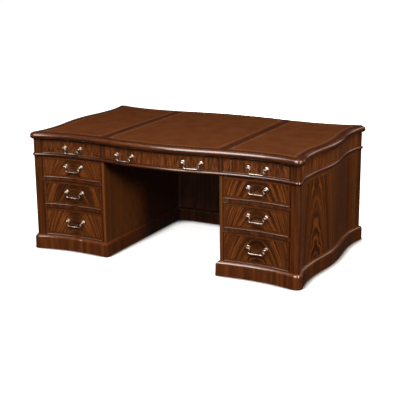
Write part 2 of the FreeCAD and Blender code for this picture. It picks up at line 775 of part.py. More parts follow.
def pin_bore():
    """Blind hole in the right ball for the bail's pin, open towards the bail."""
    length = BALL_RADIUS + BAIL_PIN_REACH + PART_CLEARANCE
    return Part.makeCylinder(
        BAIL_PIN_RADIUS + FIT_CLEARANCE, length, vector(-BALL_RADIUS, -BALL_STANDOFF, 0), X_AXIS)


def grip_bar(half_length):
    """Bar of the bail with three turned beads, on the X axis through the origin."""
    def at(x, radius):
        return vector(x, 0, radius)

    spread = math.sqrt(BAIL_BEAD_RADIUS ** 2 - BAIL_RADIUS ** 2)
    edges = []
    last = -half_length
    for x in (-BAIL_BEAD_SPACING, 0, BAIL_BEAD_SPACING):
        edges.append(Part.makeLine(at(last, BAIL_RADIUS), at(x - spread, BAIL_RADIUS)))
        last = x + spread
        arc = Part.Arc(at(x - spread, BAIL_RADIUS), at(x, BAIL_BEAD_RADIUS), at(last, BAIL_RADIUS))
        edges.append(arc.toShape())
    edges += polyline([at(last, BAIL_RADIUS), at(half_length, BAIL_RADIUS), at(half_length, 0)])
    edges += polyline([at(half_length, 0), at(-half_length, 0), at(-half_length, BAIL_RADIUS)])
    return closed_face(edges).revolve(ORIGIN, X_AXIS, 360)


def round_face(centre, direction):
    """Round cross-section of the bail's rod."""
    return Part.Face(Part.Wire(Part.makeCircle(BAIL_RADIUS, centre, direction)))


def bail():
    """Swan-neck bail hanging between two posts, its pins on the X axis through the origin."""
    half = POST_SPACING / 2
    start = half - BALL_RADIUS - PART_CLEARANCE
    lean = math.sqrt(0.5)
    corner = BAIL_DROP / (1 + lean) - BAIL_NECK
    turn = vector(start - BAIL_NECK * lean, 0, -BAIL_NECK * (1 + lean))
    corner_centre = turn - vector(corner * lean, 0, corner * lean)
    end = round_face(vector(start, 0, 0), X_AXIS)
    neck = end.revolve(vector(start, 0, -BAIL_NECK), Y_AXIS, -SWAN_ANGLE)
    joint = round_face(turn, vector(lean, 0, -lean))
    curl = joint.revolve(corner_centre, Y_AXIS, SWAN_ANGLE)
    pin_length = half + BAIL_PIN_REACH - start
    pin = Part.makeCylinder(BAIL_PIN_RADIUS, pin_length, vector(start, 0, 0), X_AXIS)
    bar = grip_bar(corner_centre.x)
    bar.translate(Z_AXIS * -BAIL_DROP)
    right = [neck, curl, pin]
    return bar.fuse(right + [mirrored_x(piece) for piece in right])


def pull_place(x, z):
    """Where a pull sits on the front: on the chord between its posts, sunk to its seats."""
    left = FRONT.world(x - POST_SPACING / 2, FRONT.level(x - POST_SPACING / 2), z)
    right = FRONT.world(x + POST_SPACING / 2, FRONT.level(x + POST_SPACING / 2), z)
    chord = right - left
    angle = math.degrees(math.atan2(chord.y, chord.x))
    turn = FreeCAD.Rotation(Z_AXIS, angle)
    return FreeCAD.Placement((left + right) * 0.5 + turn.multVec(Y_AXIS * ROSETTE_SEAT), turn)


def placed(shape, place):
    """Copy of a shape moved to a place."""
    copy = shape.copy()
    copy.Placement = place.multiply(copy.Placement)
    return copy


def pull_parts(place):
    """Posts with rosettes, bail and the cuts in the front for one pull."""
    half = POST_SPACING / 2
    right_post = stem(DRAWER_FRONT, NECK_RADIUS, BALL_RADIUS, BALL_STANDOFF).cut(pin_bore())
    right_post.translate(X_AXIS * half)
    right_rosette = rosette()
    right_rosette.translate(X_AXIS * half)
    right_cut = seat_cut(DRAWER_FRONT)
    right_cut.translate(X_AXIS * half)
    fixed = [right_post, right_rosette, mirrored_x(right_post), mirrored_x(right_rosette)]
    swinging = bail()
    swinging.translate(Y_AXIS * -BALL_STANDOFF)
    cuts = [right_cut, mirrored_x(right_cut)]
    return [placed(s, place) for s in fixed], placed(swinging, place), [placed(s, place) for s in cuts]


def knob(place):
    """Turned knob of a cupboard door and the cut in the door for it."""
    turned = stem(DRAWER_FRONT, NECK_RADIUS, KNOB_RADIUS, KNOB_STANDOFF)
    return placed(turned, place), placed(rosette(), place), placed(seat_cut(DRAWER_FRONT), place)


def hinge(axis, middle):
    """Fixed half with its pin and swinging half of a butt hinge, on the right of a front opening."""
    knuckle = HINGE_LENGTH / 3
    low = middle - HINGE_LENGTH / 2
    barrel = Part.makeCylinder(HINGE_BARREL_RADIUS, HINGE_LENGTH, vector(axis.x, axis.y, low))
    pin = Part.makeCylinder(HINGE_PIN_RADIUS, HINGE_LENGTH, vector(axis.x, axis.y, low))
    gap_low = low + knuckle
    gap_high = low + 2 * knuckle
    slot = block(axis.x - FAR, axis.x + FAR, -FAR, 0, gap_low, gap_high)
    inside = axis.y + HINGE_STANDOFF + HINGE_LEAF_DEPTH
    face = axis.x + DRAWER_GAP / 2
    plate = block(face, face + HINGE_LEAF, axis.y, inside, low, low + HINGE_LENGTH)
    room = Part.makeCylinder(
        HINGE_BARREL_RADIUS + PART_CLEARANCE, knuckle, vector(axis.x, axis.y, gap_low))
    fixed = barrel.cut(slot).fuse(plate.cut(room)).fuse(pin)
    moving_low = gap_low + PART_CLEARANCE
    moving_length = knuckle - 2 * PART_CLEARANCE
    bore = Part.makeCylinder(HINGE_PIN_RADIUS + FIT_CLEARANCE, HINGE_LENGTH, vector(axis.x, axis.y, low))
    sleeve = Part.makeCylinder(HINGE_BARREL_RADIUS, moving_length, vector(axis.x, axis.y, moving_low))
    edge = axis.x - DRAWER_GAP / 2
    arm = block(edge - HINGE_LEAF, edge, axis.y, inside, moving_low, moving_low + moving_length)
    swinging = sleeve.fuse(arm).cut(bore)
    return fixed, swinging


def cupboard():
    """Right door with its knob and hinges, drawn on the front and then moved to the back."""
    x1 = POST_X - DRAWER_GAP
    edge = POST_X - DRAWER_GAP / 2
    axis = vector(edge, -BODY_DEPTH / 2 - FRONT.level(POST_X) - HINGE_STANDOFF, 0)
    wall_edge = FRONT.world(WALL_X, FRONT.level(WALL_X))
    swing = (wall_edge - axis).Length - SWING_CLEARANCE
    x0 = axis.x - math.sqrt(swing ** 2 - (wall_edge.y + DRAWER_FRONT - axis.y) ** 2)
    door = beaded(x0, x1, PLINTH_HEIGHT + DRAWER_GAP, WAIST_BOTTOM - DRAWER_GAP, DRAWER_FRONT)
    heights = [PLINTH_HEIGHT + HINGE_INSET, WAIST_BOTTOM - HINGE_INSET]
    halves = [hinge(axis, middle) for middle in heights]
    knob_x = WALL_X + KNOB_INSET
    knob_z = (PLINTH_HEIGHT + WAIST_BOTTOM) / 2
    slope = FRONT.level(knob_x - ROSETTE_RADIUS) - FRONT.level(knob_x + ROSETTE_RADIUS)
    turn = FreeCAD.Rotation(Z_AXIS, math.degrees(math.atan2(slope, 2 * ROSETTE_RADIUS)))
    seat = FRONT.world(knob_x, FRONT.level(knob_x) - ROSETTE_SEAT, knob_z)
    post, plate, cut = knob(FreeCAD.Placement(seat, turn))
    swinging = [moving for fixed, moving in halves]
    door = door.cut([cut] + swinging)
    fixed = [mirrored_y(fixed) for fixed, moving in halves]
    brass = [mirrored_y(shape) for shape in swinging + [post, plate]]
    return mirrored_y(door), brass, fixed


def openings():
    """Each drawer opening: its span, its height and the centres of its pulls."""
    frieze = (FRIEZE_BOTTOM, TOP_UNDERSIDE)
    spread = CENTRE_PULL_SPREAD / 2
    found = {
        "frieze_left": (-POST_X, -MUNTIN_X) + frieze + ([-PULL_X],),
        "frieze_centre": (-KNEE_X, KNEE_X) + frieze + ([-spread, spread],),
        "frieze_right": (MUNTIN_X, POST_X) + frieze + ([PULL_X],),
    }
    levels = {
        "top": (UPPER_RAIL_TOP, WAIST_BOTTOM),
        "middle": (LOWER_RAIL_TOP, MIDDLE_TOP),
        "bottom": (PLINTH_HEIGHT, BOTTOM_TOP),
    }
    for level, heights in levels.items():
        found["left_" + level] = (-POST_X, -WALL_X) + heights + ([-PULL_X],)
        found["right_" + level] = (WALL_X, POST_X) + heights + ([PULL_X],)
    return found


def pull_height(name, z0, z1):
    """Height of a drawer's pulls: a little low in the frieze, a little high in the pedestals."""
    return (z0 + z1) / 2 + (-FRIEZE_PULL_DROP if name.startswith("frieze") else PULL_RISE)


def export_drawers():
    """Nodes of the nine drawers."""
    for name, (x0, x1, z0, z1, centres) in openings().items():
        front, boards = drawer(x0, x1, z0, z1)
        posts = []
        for centre in centres:
            place = pull_place(centre, pull_height(name, z0, z1))
            fixed, swinging, cuts = pull_parts(place)
            front = front.cut(cuts)
            posts += fixed
            hand = "" if len(centres) == 1 else "_left" if centre < 0 else "_right"
            export(name + "_bail" + hand, [swinging])
        export(name + "_front", [front])
        export(name + "_box", boards)
        export(name + "_pulls", posts)


def export_carcass():
    """Nodes of the fixed body and the two doors."""
    leather = leather_panels()
    export("leather_panels", leather)
    export("top_panel", [top_panel(leather)])
    export("top_edge_moulding", solids_of(Ring(top_profile).lengths()))
    export("waist_moulding", solids_of(Ring(waist_profile).lengths()))

    level = block(-FAR, FAR, -FAR, FAR, WAIST_BOTTOM, FRIEZE_BOTTOM)
    export("frieze_dust_board", [level.common(plan(-WAIST_TONGUE))])
    back_panel = frieze_back_panel()
    end = side_panel(FRIEZE_BOTTOM, TOP_UNDERSIDE)
    export("frieze_panels", [end, mirrored_x(end), back_panel])
    partition = frieze_partition(back_panel)
    export("frieze_partitions", [partition, mirrored_x(partition)])

    door, brass, fixed = cupboard()
    frieze_post = corner_post(FRIEZE_BOTTOM, TOP_UNDERSIDE)
    front_post = corner_post(PLINTH_SHOULDER, WAIST_BOTTOM)
    back_post = mirrored_y(front_post).cut(fixed)
    right_posts = [frieze_post, mirrored_y(frieze_post), front_post, back_post]
    export("corner_posts", solids_of(right_posts + [mirrored_x(post) for post in right_posts]))

    sides = [side_panel(PLINTH_SHOULDER, WAIST_BOTTOM), pedestal_wall()]
    export("right_pedestal_sides", sides)
    export("left_pedestal_sides", [mirrored_x(side) for side in sides])
    rails = pedestal_rails()
    export("pedestal_rails", rails + [mirrored_x(rail) for rail in rails])
    floor = pedestal_floor([front_post, back_post])
    export("pedestal_floors", [floor, mirrored_x(floor)])
    board = pedestal_partition()
    export("pedestal_partitions", [board, mirrored_x(board)])
    runners = drawer_runners(rails)
    export("drawer_runners", solids_of(runners + [mirrored_x(runner) for runner in runners]))

    plinth = right_plinth()
    left_plinth = [mirrored_x(length) for length in plinth]
    export("right_plinth", solids_of(plinth))
    export("left_plinth", solids_of(left_plinth))
    export("modesty_plinth", [modesty_plinth()])
    export("modesty_panel", [modesty_panel(plinth + left_plinth)])

    export("right_door", [door])
    export("left_door", [mirrored_x(door)])
    export("right_door_brass", brass)
    export("left_door_brass", [mirrored_x(shape) for shape in brass])
    export("door_hinges", fixed + [mirrored_x(shape) for shape in fixed])


export_carcass()
export_drawers()
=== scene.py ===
import json
import logging
import math
from collections.abc import Callable, Iterable, Sequence
from dataclasses import KW_ONLY, dataclass, field, replace
from enum import Enum

import bpy
from bpy.types import Material, Node, NodeSocket, NodeTree, Object
from mathutils import Matrix, Vector

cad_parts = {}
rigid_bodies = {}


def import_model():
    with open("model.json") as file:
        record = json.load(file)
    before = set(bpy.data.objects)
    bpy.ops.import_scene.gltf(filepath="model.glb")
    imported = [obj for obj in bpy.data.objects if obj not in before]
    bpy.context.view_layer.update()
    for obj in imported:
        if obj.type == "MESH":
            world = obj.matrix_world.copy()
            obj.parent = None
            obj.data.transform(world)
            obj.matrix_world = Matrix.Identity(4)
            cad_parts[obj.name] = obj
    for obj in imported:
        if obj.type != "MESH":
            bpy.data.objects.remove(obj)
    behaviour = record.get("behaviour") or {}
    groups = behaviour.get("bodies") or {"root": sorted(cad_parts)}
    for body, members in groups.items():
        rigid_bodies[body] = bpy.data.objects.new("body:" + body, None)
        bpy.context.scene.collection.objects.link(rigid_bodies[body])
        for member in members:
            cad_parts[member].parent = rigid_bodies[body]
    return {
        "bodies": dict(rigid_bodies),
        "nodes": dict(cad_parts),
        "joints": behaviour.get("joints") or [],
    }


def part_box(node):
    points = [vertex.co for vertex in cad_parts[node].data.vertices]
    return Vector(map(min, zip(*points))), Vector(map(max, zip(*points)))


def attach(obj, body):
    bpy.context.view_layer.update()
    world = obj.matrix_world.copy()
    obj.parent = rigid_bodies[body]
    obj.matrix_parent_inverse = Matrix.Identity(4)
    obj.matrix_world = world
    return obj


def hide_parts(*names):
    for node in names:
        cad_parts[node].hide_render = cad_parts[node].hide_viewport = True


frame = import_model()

# Serpentine partners desk: finishes for the CAD nodes, the leather writing surface with its gilt tooling,
# and the small brass parts of the pulls. Metres, in the CAD frame: the front faces -Y, +Z is up.

LOG = logging.getLogger("partners_desk")
MM = 0.001
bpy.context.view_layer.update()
NODES = frame["nodes"]

# Most of a noise texture lies between these. A MapRange node takes a value, its range and a new range.
NOISE_LOW, NOISE_HIGH = 0.3, 0.7
# Step in the noise from one drawer's veneer to the next.
SEED_STEP = 3.7
# Points of a mesh nearer than this are one point.
WELD = 0.005 * MM


class Axis(Enum):
    """Direction in the desk's frame, by its place in a vector."""

    X = 0
    Y = 1
    Z = 2


class Figure(Enum):
    """How a veneer's streaks run: arches about the middle of the panel, or upright ribbons."""

    CROTCH = "crotch"
    RIBBON = "ribbon"


def linear(colour: str) -> tuple[float, float, float, float]:
    """Turn an sRGB hex colour into linear values.

    Args:
        colour: Six hex digits after a hash sign.

    Returns:
        Linear red, green and blue, with an alpha of one.
    """
    shares = [int(colour[i:i + 2], 16) / 255 for i in (1, 3, 5)]
    red, green, blue = [s / 12.92 if s <= 0.04045 else ((s + 0.055) / 1.055) ** 2.4 for s in shares]
    return red, green, blue, 1.0


def feed(tree: NodeTree, node: Node, inputs: dict | list) -> None:
    """Give a node's inputs their values and links.

    Args:
        tree: Node tree that the node is in.
        node: The node.
        inputs: For each input, by its name or in the order of those in use, a value, an output socket or a
            node, whose first output in use is taken.
    """
    used = [socket for socket in node.inputs if socket.enabled]
    for key, value in inputs.items() if isinstance(inputs, dict) else enumerate(inputs):
        target = node.inputs[key] if isinstance(key, str) else used[key]
        if isinstance(value, Node):
            value = next(socket for socket in value.outputs if socket.enabled)
        if isinstance(value, NodeSocket):
            tree.links.new(value, target)
        else:
            target.default_value = value


def add_node(tree: NodeTree, kind: str, inputs: dict | list | None = None,
             stops: Iterable[tuple[float, str]] = (), **settings: object) -> Node:
    """Add a shader node with its settings, values and links.

    Args:
        tree: Node tree that gets the node.
        kind: Node type without ShaderNode in front, and after a dot its operation or, for Mix, its data type.
        inputs: Values and links of its inputs.
        stops: Places and sRGB hex colours of a colour ramp: its two ends, then any between.
        settings: Other properties of the node.

    Returns:
        The new node.
    """
    kind, _, choice = kind.partition(".")
    node = tree.nodes.new("ShaderNode" + kind)
    if choice:
        setattr(node, "data_type" if kind == "Mix" else "operation", choice)
    for name, value in settings.items():
        setattr(node, name, value)
    for index, (place, colour) in enumerate(stops):
        elements = node.color_ramp.elements
        element = elements[index] if index < 2 else elements.new(place)
        element.position = place
        element.color = linear(colour)
    feed(tree, node, inputs or {})
    return node


def blank_material(name: str) -> tuple[Material, NodeTree, Node]:
    """Start a material that has only a principled shader.

    Args:
        name: Name of the material.

    Returns:
        The material, its node tree and its shader.
    """
    material = bpy.data.materials.new(name)
    material.use_nodes = True
    tree = material.node_tree
    return material, tree, tree.nodes["Principled BSDF"]


def stretched(width: float, run: float, along: Axis) -> tuple[float, ...]:
    """Scale for a pattern of long streaks.

    Args:
        width: Width of a streak in metres.
        run: How many times longer than wide a streak is.
        along: Direction the streaks run in.

    Returns:
        Scale of a Mapping node.
    """
    return tuple(1 / (width * run) if axis is along else 1 / width for axis in Axis)


@dataclass(frozen=True, kw_only=True)
class PolishedWood:
    """Wood under a thin hard polish, rubbed a little unevenly, with a sheen that may be warm."""

    ramp: tuple[float, ...] = (0.36, 0.66, 0.5)  # levels of the noise with the dark, light and middle colour
    smear: float = 70 * MM
    roughness: float = 0.42
    glossier: float = 0.06
    duller: float = 0.06
    coat: float = 0.8
    sheen: str = "#ffffff"

    def polish(self, tree: NodeTree, shader: Node, spot: NodeSocket, colour: Node, bump: Node) -> None:
        """Give a wood's shader its colour, surface and polish.

        Args:
            tree: The material's node tree.
            shader: Its principled shader.
            spot: Coordinates in the desk's frame.
            colour: Colour of the wood.
            bump: Surface of the wood.
        """
        smear = add_node(tree, "TexNoise", {"Vector": spot, "Scale": 1 / self.smear, "Detail": 3})
        rough = add_node(tree, "MapRange", [
            smear, NOISE_LOW, NOISE_HIGH, self.roughness - self.glossier, self.roughness + self.duller])
        feed(tree, shader, {
            "Base Color": colour, "Roughness": rough, "Normal": bump, "Specular Tint": linear(self.sheen),
            "IOR": 1.5, "Coat Weight": self.coat, "Coat Roughness": 0.12, "Coat IOR": 1.6})


@dataclass(frozen=True)
class StraightWood(PolishedWood):
    """Planed and polished wood with straight grain.

    Fine fibres and broader ribbons run along the grain, with short dark pores. Painted shade darkens a band
    beside the drawers, at a distance from the middle of the desk, standing in for the shadow there.
    """

    name: str
    dark: str
    middle: str
    light: str
    grain: Axis
    turned: Axis
    fibre: float = 2.4 * MM
    ribbon: float = 16 * MM
    ribbon_share: float = 0.6
    pore: float = 0.9 * MM  # real pores are about 0.3 mm across; drawn coarser so that they show
    pore_share: float = 0.55
    pore_from: float = 0.64  # level of the noise where a pore starts, and where it is darkest
    pore_full: float = 0.72
    pore_depth: float = 0.15 * MM
    run: float = 26  # how many times longer than wide a streak is
    end_grain: float = 0.7
    # colour and strength of the painted shade in the band beside the drawers
    painted_shade: str = "#170903"
    painted_shade_share: float = 0.85
    painted_shade_from: float = 0.0
    painted_shade_width: float = 9 * MM

    def material(self) -> Material:
        """Make the wood's material; faces across the grain take the turned direction, so no end shows rings.

        Returns:
            The new material.
        """
        material, tree, shader = blank_material(self.name)
        coords = add_node(tree, "TexCoord")
        spot = coords.outputs["Object"]
        normal = add_node(tree, "SeparateXYZ", [coords.outputs["Normal"]])
        facing = add_node(tree, "Math.ABSOLUTE", [normal.outputs[self.grain.value]])
        across = add_node(tree, "Math.GREATER_THAN", [facing, self.end_grain])

        def streaks(width: float, detail: float) -> Node:
            """Draw noise out along the grain.

            Args:
                width: Width of a streak.
                detail: Number of finer layers.

            Returns:
                The noise.
            """
            ways = [add_node(tree, "Mapping", {"Vector": spot, "Scale": stretched(width, self.run, axis)})
                    for axis in (self.grain, self.turned)]
            way = add_node(tree, "Mix.VECTOR", [across, *ways])
            return add_node(tree, "TexNoise", {"Vector": way, "Scale": 1, "Detail": detail})

        fibre = streaks(self.fibre, 4)
        ribbon = streaks(self.ribbon, 3)
        pore = streaks(self.pore, 1)
        figure = add_node(tree, "Mix", [self.ribbon_share, fibre, ribbon])
        plain = add_node(tree, "ValToRGB", [figure], zip(self.ramp, (self.dark, self.light, self.middle)))
        flecks = add_node(tree, "MapRange", [pore, self.pore_from, self.pore_full, 0, self.pore_share])
        colour = add_node(tree, "Mix.RGBA", [flecks, plain, linear(self.dark)])
        # painted shade: a dark band beside the drawers, in place of the shadow in the gap there
        if self.painted_shade_from:
            place = add_node(tree, "SeparateXYZ", [spot])
            out = add_node(tree, "Math.ABSOLUTE", [place.outputs["X"]])
            edge = self.painted_shade_from + self.painted_shade_width
            near = add_node(tree, "MapRange", [out, self.painted_shade_from, edge, self.painted_shade_share, 0])
            colour = add_node(tree, "Mix.RGBA", [near, colour, linear(self.painted_shade)])
        bump = add_node(tree, "Bump", {"Strength": 0.25, "Distance": self.pore_depth, "Height": pore},
                        invert=True)
        self.polish(tree, shader, spot, colour, bump)
        return material


@dataclass(frozen=True)
class Veneer(PolishedWood):
    """Figured and polished mahogany veneer in a crossbanded border.

    The two halves of the field are opened like a book, so the streaks mirror about the figure's middle line.
    They arch with the radius of the bend and wander by the sway in waves. The border is cut across the grain,
    is lighter and is parted from the field by a thin dark line. Painted shade darkens the bead round the
    edge of the front, in the line's colour. The back is plain, and so is wood nearer the desk's middle than
    figured_from.
    """

    name: str
    across: Axis
    centre: Vector
    half_width: float
    half_height: float
    figure: Figure
    seed: float
    outward: float = -1.0
    facing_front: float = 0.25
    facing_back: float = -0.5
    off_centre: float = 0.0
    border: float = 18 * MM
    bead: float = 3.6 * MM
    line_width: float = 0.9 * MM
    blur: float = 0.3 * MM
    streak: float = 17 * MM
    streak_run: float = 9  # how many times longer than wide a streak is
    fibre: float = 4 * MM
    fibre_run: float = 20
    fibre_share: float = 0.3
    bend: float = 60 * MM
    sway: float = 22 * MM
    wave: float = 60 * MM
    plume: float = 0.92
    plume_foot: float = 0.3
    plume_from: float = 12 * MM
    plume_to: float = 115 * MM
    figured_from: float = 0.0
    band_ramp: tuple[float, ...] = (0.35, 0.65)
    dark: str = "#270f04"
    middle: str = "#552a0c"
    light: str = "#844c20"
    band_dark: str = "#44200c"
    band_light: str = "#673613"
    # thin dark line between border and field; the same colour is painted shade on the bead
    line: str = "#210c04"
    _: KW_ONLY
    ramp: tuple[float, ...] = (0.4, 0.6, 0.5)
    smear: float = 60 * MM
    glossier: float = 0.05
    duller: float = 0.07
    sheen: str = "#ffe9bb"

    def flow(self, tree: NodeTree, along: Node, away: Node, up: NodeSocket) -> Node:
        """Coordinates across and along the streaks of the field.

        Args:
            tree: The material's node tree.
            along: Distance from the middle line.
            away: The same without its sign.
            up: Height above the middle.

        Returns:
            Vector of the places across and along the streaks.
        """
        spot = add_node(tree, "CombineXYZ", [away, up, self.seed])
        sway = add_node(tree, "TexNoise", {"Vector": spot, "Scale": 1 / self.wave, "Detail": 3})
        drift = add_node(tree, "MapRange", [sway, 0, 1, -self.sway, self.sway])
        if self.figure is Figure.RIBBON:
            place = add_node(tree, "Math.ADD", [along, drift])
            return add_node(tree, "CombineXYZ", [place, up])
        height = add_node(tree, "Math.ADD", [up, drift])
        square = add_node(tree, "Math.MULTIPLY", [away, away])
        place = add_node(tree, "Math.MULTIPLY_ADD", [square, 0.5 / self.bend, height])
        return add_node(tree, "CombineXYZ", [place, away])

    def field_colour(self, tree: NodeTree, flow: Node, away: Node, up: NodeSocket) -> tuple[Node, Node]:
        """Colour of the figured field, with the dark plume where the two halves meet.

        Args:
            tree: The material's node tree.
            flow: Coordinates across and along the streaks.
            away: Distance from the middle line.
            up: Height above the middle.

        Returns:
            The colour, and the fine fibres for the bump.
        """
        noises = []
        for width, run in ((self.streak, self.streak_run), (self.fibre, self.fibre_run)):
            place = add_node(tree, "Mapping", {
                "Vector": flow, "Location": (0, 0, self.seed), "Scale": (1 / width, 1 / (width * run), 1)})
            noises.append(add_node(tree, "TexNoise", {"Vector": place, "Scale": 1, "Detail": 3}))
        figure = add_node(tree, "Mix", [self.fibre_share, *noises])
        colour = add_node(tree, "ValToRGB", [figure], zip(self.ramp, (self.dark, self.light, self.middle)))
        if self.figure is Figure.RIBBON:
            return colour, noises[1]
        near = add_node(tree, "MapRange", [away, self.plume_from, self.plume_to, self.plume, 0],
                        interpolation_type="SMOOTHSTEP")
        high = add_node(tree, "MapRange", [up, -self.half_height, self.half_height, self.plume_foot, 1])
        plume = add_node(tree, "Math.MULTIPLY", [near, high])
        shaded = add_node(tree, "Mix.RGBA", [plume, colour, linear(self.dark)])
        return shaded, noises[1]

    def within(self, tree: NodeTree, inward: Node, margin: float) -> Node:
        """Share of the panel's margin at a place, with a soft edge.

        Args:
            tree: The material's node tree.
            inward: Distance in from the panel's edge.
            margin: Width of the margin.

        Returns:
            One in the margin and nought in the field.
        """
        return add_node(tree, "MapRange", [inward, margin - self.blur, margin + self.blur, 1, 0])

    def material(self) -> Material:
        """Make the veneer's material for this panel.

        Returns:
            The new material.
        """
        material, tree, shader = blank_material(self.name)
        coords = add_node(tree, "TexCoord")
        spot = coords.outputs["Object"]
        local = add_node(tree, "Mapping", {"Vector": spot, "Location": -self.centre})
        place = add_node(tree, "SeparateXYZ", [local])
        along, up = place.outputs[self.across.value], place.outputs["Z"]
        leaf = add_node(tree, "Math.SUBTRACT", [along, self.off_centre])
        away = add_node(tree, "Math.ABSOLUTE", [leaf])
        field_colour, fibres = self.field_colour(tree, self.flow(tree, leaf, away, up), away, up)

        reach = add_node(tree, "Math.ABSOLUTE", [along])
        level = add_node(tree, "Math.ABSOLUTE", [up])
        side = add_node(tree, "Math.SUBTRACT", [self.half_width, reach])
        edge = add_node(tree, "Math.SUBTRACT", [self.half_height, level])
        inward = add_node(tree, "Math.MINIMUM", [side, edge])
        banded = self.within(tree, inward, self.border)
        if self.figured_from:
            whole_place = add_node(tree, "SeparateXYZ", [spot])
            out = add_node(tree, "Math.ABSOLUTE", [whole_place.outputs["X"]])
            plain = add_node(tree, "Math.LESS_THAN", [out, self.figured_from])
            banded = add_node(tree, "Math.MAXIMUM", [banded, plain])
            edge = add_node(tree, "Math.SUBTRACT", [edge, plain])
        upright = add_node(tree, "Math.LESS_THAN", [side, edge])
        run = add_node(tree, "Mix", [upright, along, up])
        strip = add_node(tree, "CombineXYZ", [run, inward, self.seed])
        strip_place = add_node(tree, "Mapping", {
            "Vector": strip, "Scale": (1 / self.fibre, 1 / (self.fibre * self.fibre_run), 1)})
        strip_grain = add_node(tree, "TexNoise", {"Vector": strip_place, "Scale": 1, "Detail": 3})
        band = add_node(tree, "ValToRGB", [strip_grain], zip(self.band_ramp, (self.band_dark, self.band_light)))
        whole = add_node(tree, "Mix.RGBA", [banded, field_colour, band])
        lined = add_node(tree, "Math.COMPARE", [inward, self.border, self.line_width])
        # painted shade: the bead round the front's edge is drawn in the dark line's colour
        if self.bead:
            normal = add_node(tree, "SeparateXYZ", [coords.outputs["Normal"]])
            facing = add_node(tree, "Math.MULTIPLY", [normal.outputs["Y"], self.outward])
            front = add_node(tree, "Math.GREATER_THAN", [facing, self.facing_front])
            bead_painted_shade = self.within(tree, inward, self.bead)
            line_and_bead_shade = add_node(tree, "Math.MAXIMUM", [lined, bead_painted_shade])
            lined = add_node(tree, "Math.MULTIPLY", [line_and_bead_shade, front])
            behind = add_node(tree, "Math.LESS_THAN", [facing, self.facing_back])
            whole = add_node(tree, "Mix.RGBA", [behind, whole, band])
        colour = add_node(tree, "Mix.RGBA", [lined, whole, linear(self.line)])
        bump = add_node(tree, "Bump", {"Strength": 0.15, "Distance": 0.1 * MM, "Height": fibres})
        self.polish(tree, shader, spot, colour, bump)
        return material


@dataclass(frozen=True)
class Leather:
    """Tan hide, dyed and waxed: fine pebbled grain, darker creases and a little cloudy colour."""

    dark: str = "#4b270e"
    light: str = "#532d11"
    ramp: tuple[float, ...] = (0.34, 0.66)
    crease: str = "#3d1f0a"
    cell: float = 2.6 * MM  # real grain is about 1 mm; drawn coarser so that it shows
    crease_width: float = 0.12  # as a share of the cell
    crease_share: float = 0.6
    cloud: float = 90 * MM
    smoothest: float = 0.55
    roughest: float = 0.68

    def material(self) -> Material:
        """Make the leather's material.

        Returns:
            The new material.
        """
        material, tree, shader = blank_material("waxed_tan_hide")
        coords = add_node(tree, "TexCoord").outputs["Object"]
        cloud = add_node(tree, "TexNoise", {"Vector": coords, "Scale": 1 / self.cloud, "Detail": 5})
        colour = add_node(tree, "ValToRGB", [cloud], zip(self.ramp, (self.dark, self.light)))
        pebble = add_node(tree, "TexVoronoi", {"Vector": coords, "Scale": 1 / self.cell},
                          feature="DISTANCE_TO_EDGE")
        crease = add_node(tree, "MapRange", [pebble, 0, self.crease_width, self.crease_share, 0])
        whole = add_node(tree, "Mix.RGBA", [crease, colour, linear(self.crease)])
        rough = add_node(tree, "MapRange", [cloud, NOISE_LOW, NOISE_HIGH, self.smoothest, self.roughest])
        bump = add_node(tree, "Bump", {"Strength": 0.4, "Distance": 0.25 * MM, "Height": pebble})
        feed(tree, shader, {"Base Color": whole, "Roughness": rough, "Normal": bump, "IOR": 1.46,
                            "Specular IOR Level": 0.16})
        return material


@dataclass(frozen=True)
class Metal:
    """Cast and polished metal, with a soft tarnish in patches."""

    name: str
    bright: str
    tarnish: str
    patch: float
    roughness: float
    duller: float = 0.14
    ramp: tuple[float, ...] = (0.36, 0.6)
    pit: float = 0.8 * MM
    pit_depth: float = 0.05 * MM

    def material(self) -> Material:
        """Make the metal's material.

        Returns:
            The new material.
        """
        material, tree, shader = blank_material(self.name)
        coords = add_node(tree, "TexCoord").outputs["Object"]
        patch = add_node(tree, "TexNoise", {"Vector": coords, "Scale": 1 / self.patch, "Detail": 4})
        colour = add_node(tree, "ValToRGB", [patch], zip(self.ramp, (self.tarnish, self.bright)))
        rough = add_node(tree, "MapRange", [
            patch, NOISE_LOW, NOISE_HIGH, self.roughness + self.duller, self.roughness])
        pit = add_node(tree, "TexNoise", {"Vector": coords, "Scale": 1 / self.pit, "Detail": 2})
        bump = add_node(tree, "Bump", {"Strength": 0.1, "Distance": self.pit_depth, "Height": pit})
        feed(tree, shader, {"Base Color": colour, "Roughness": rough, "Normal": bump, "Metallic": 1.0})
        return material


def made(finish: StraightWood | Leather | Metal) -> Material:
    """Field for a finish's material, which is made when the field's owner is."""
    return field(default_factory=finish.material)


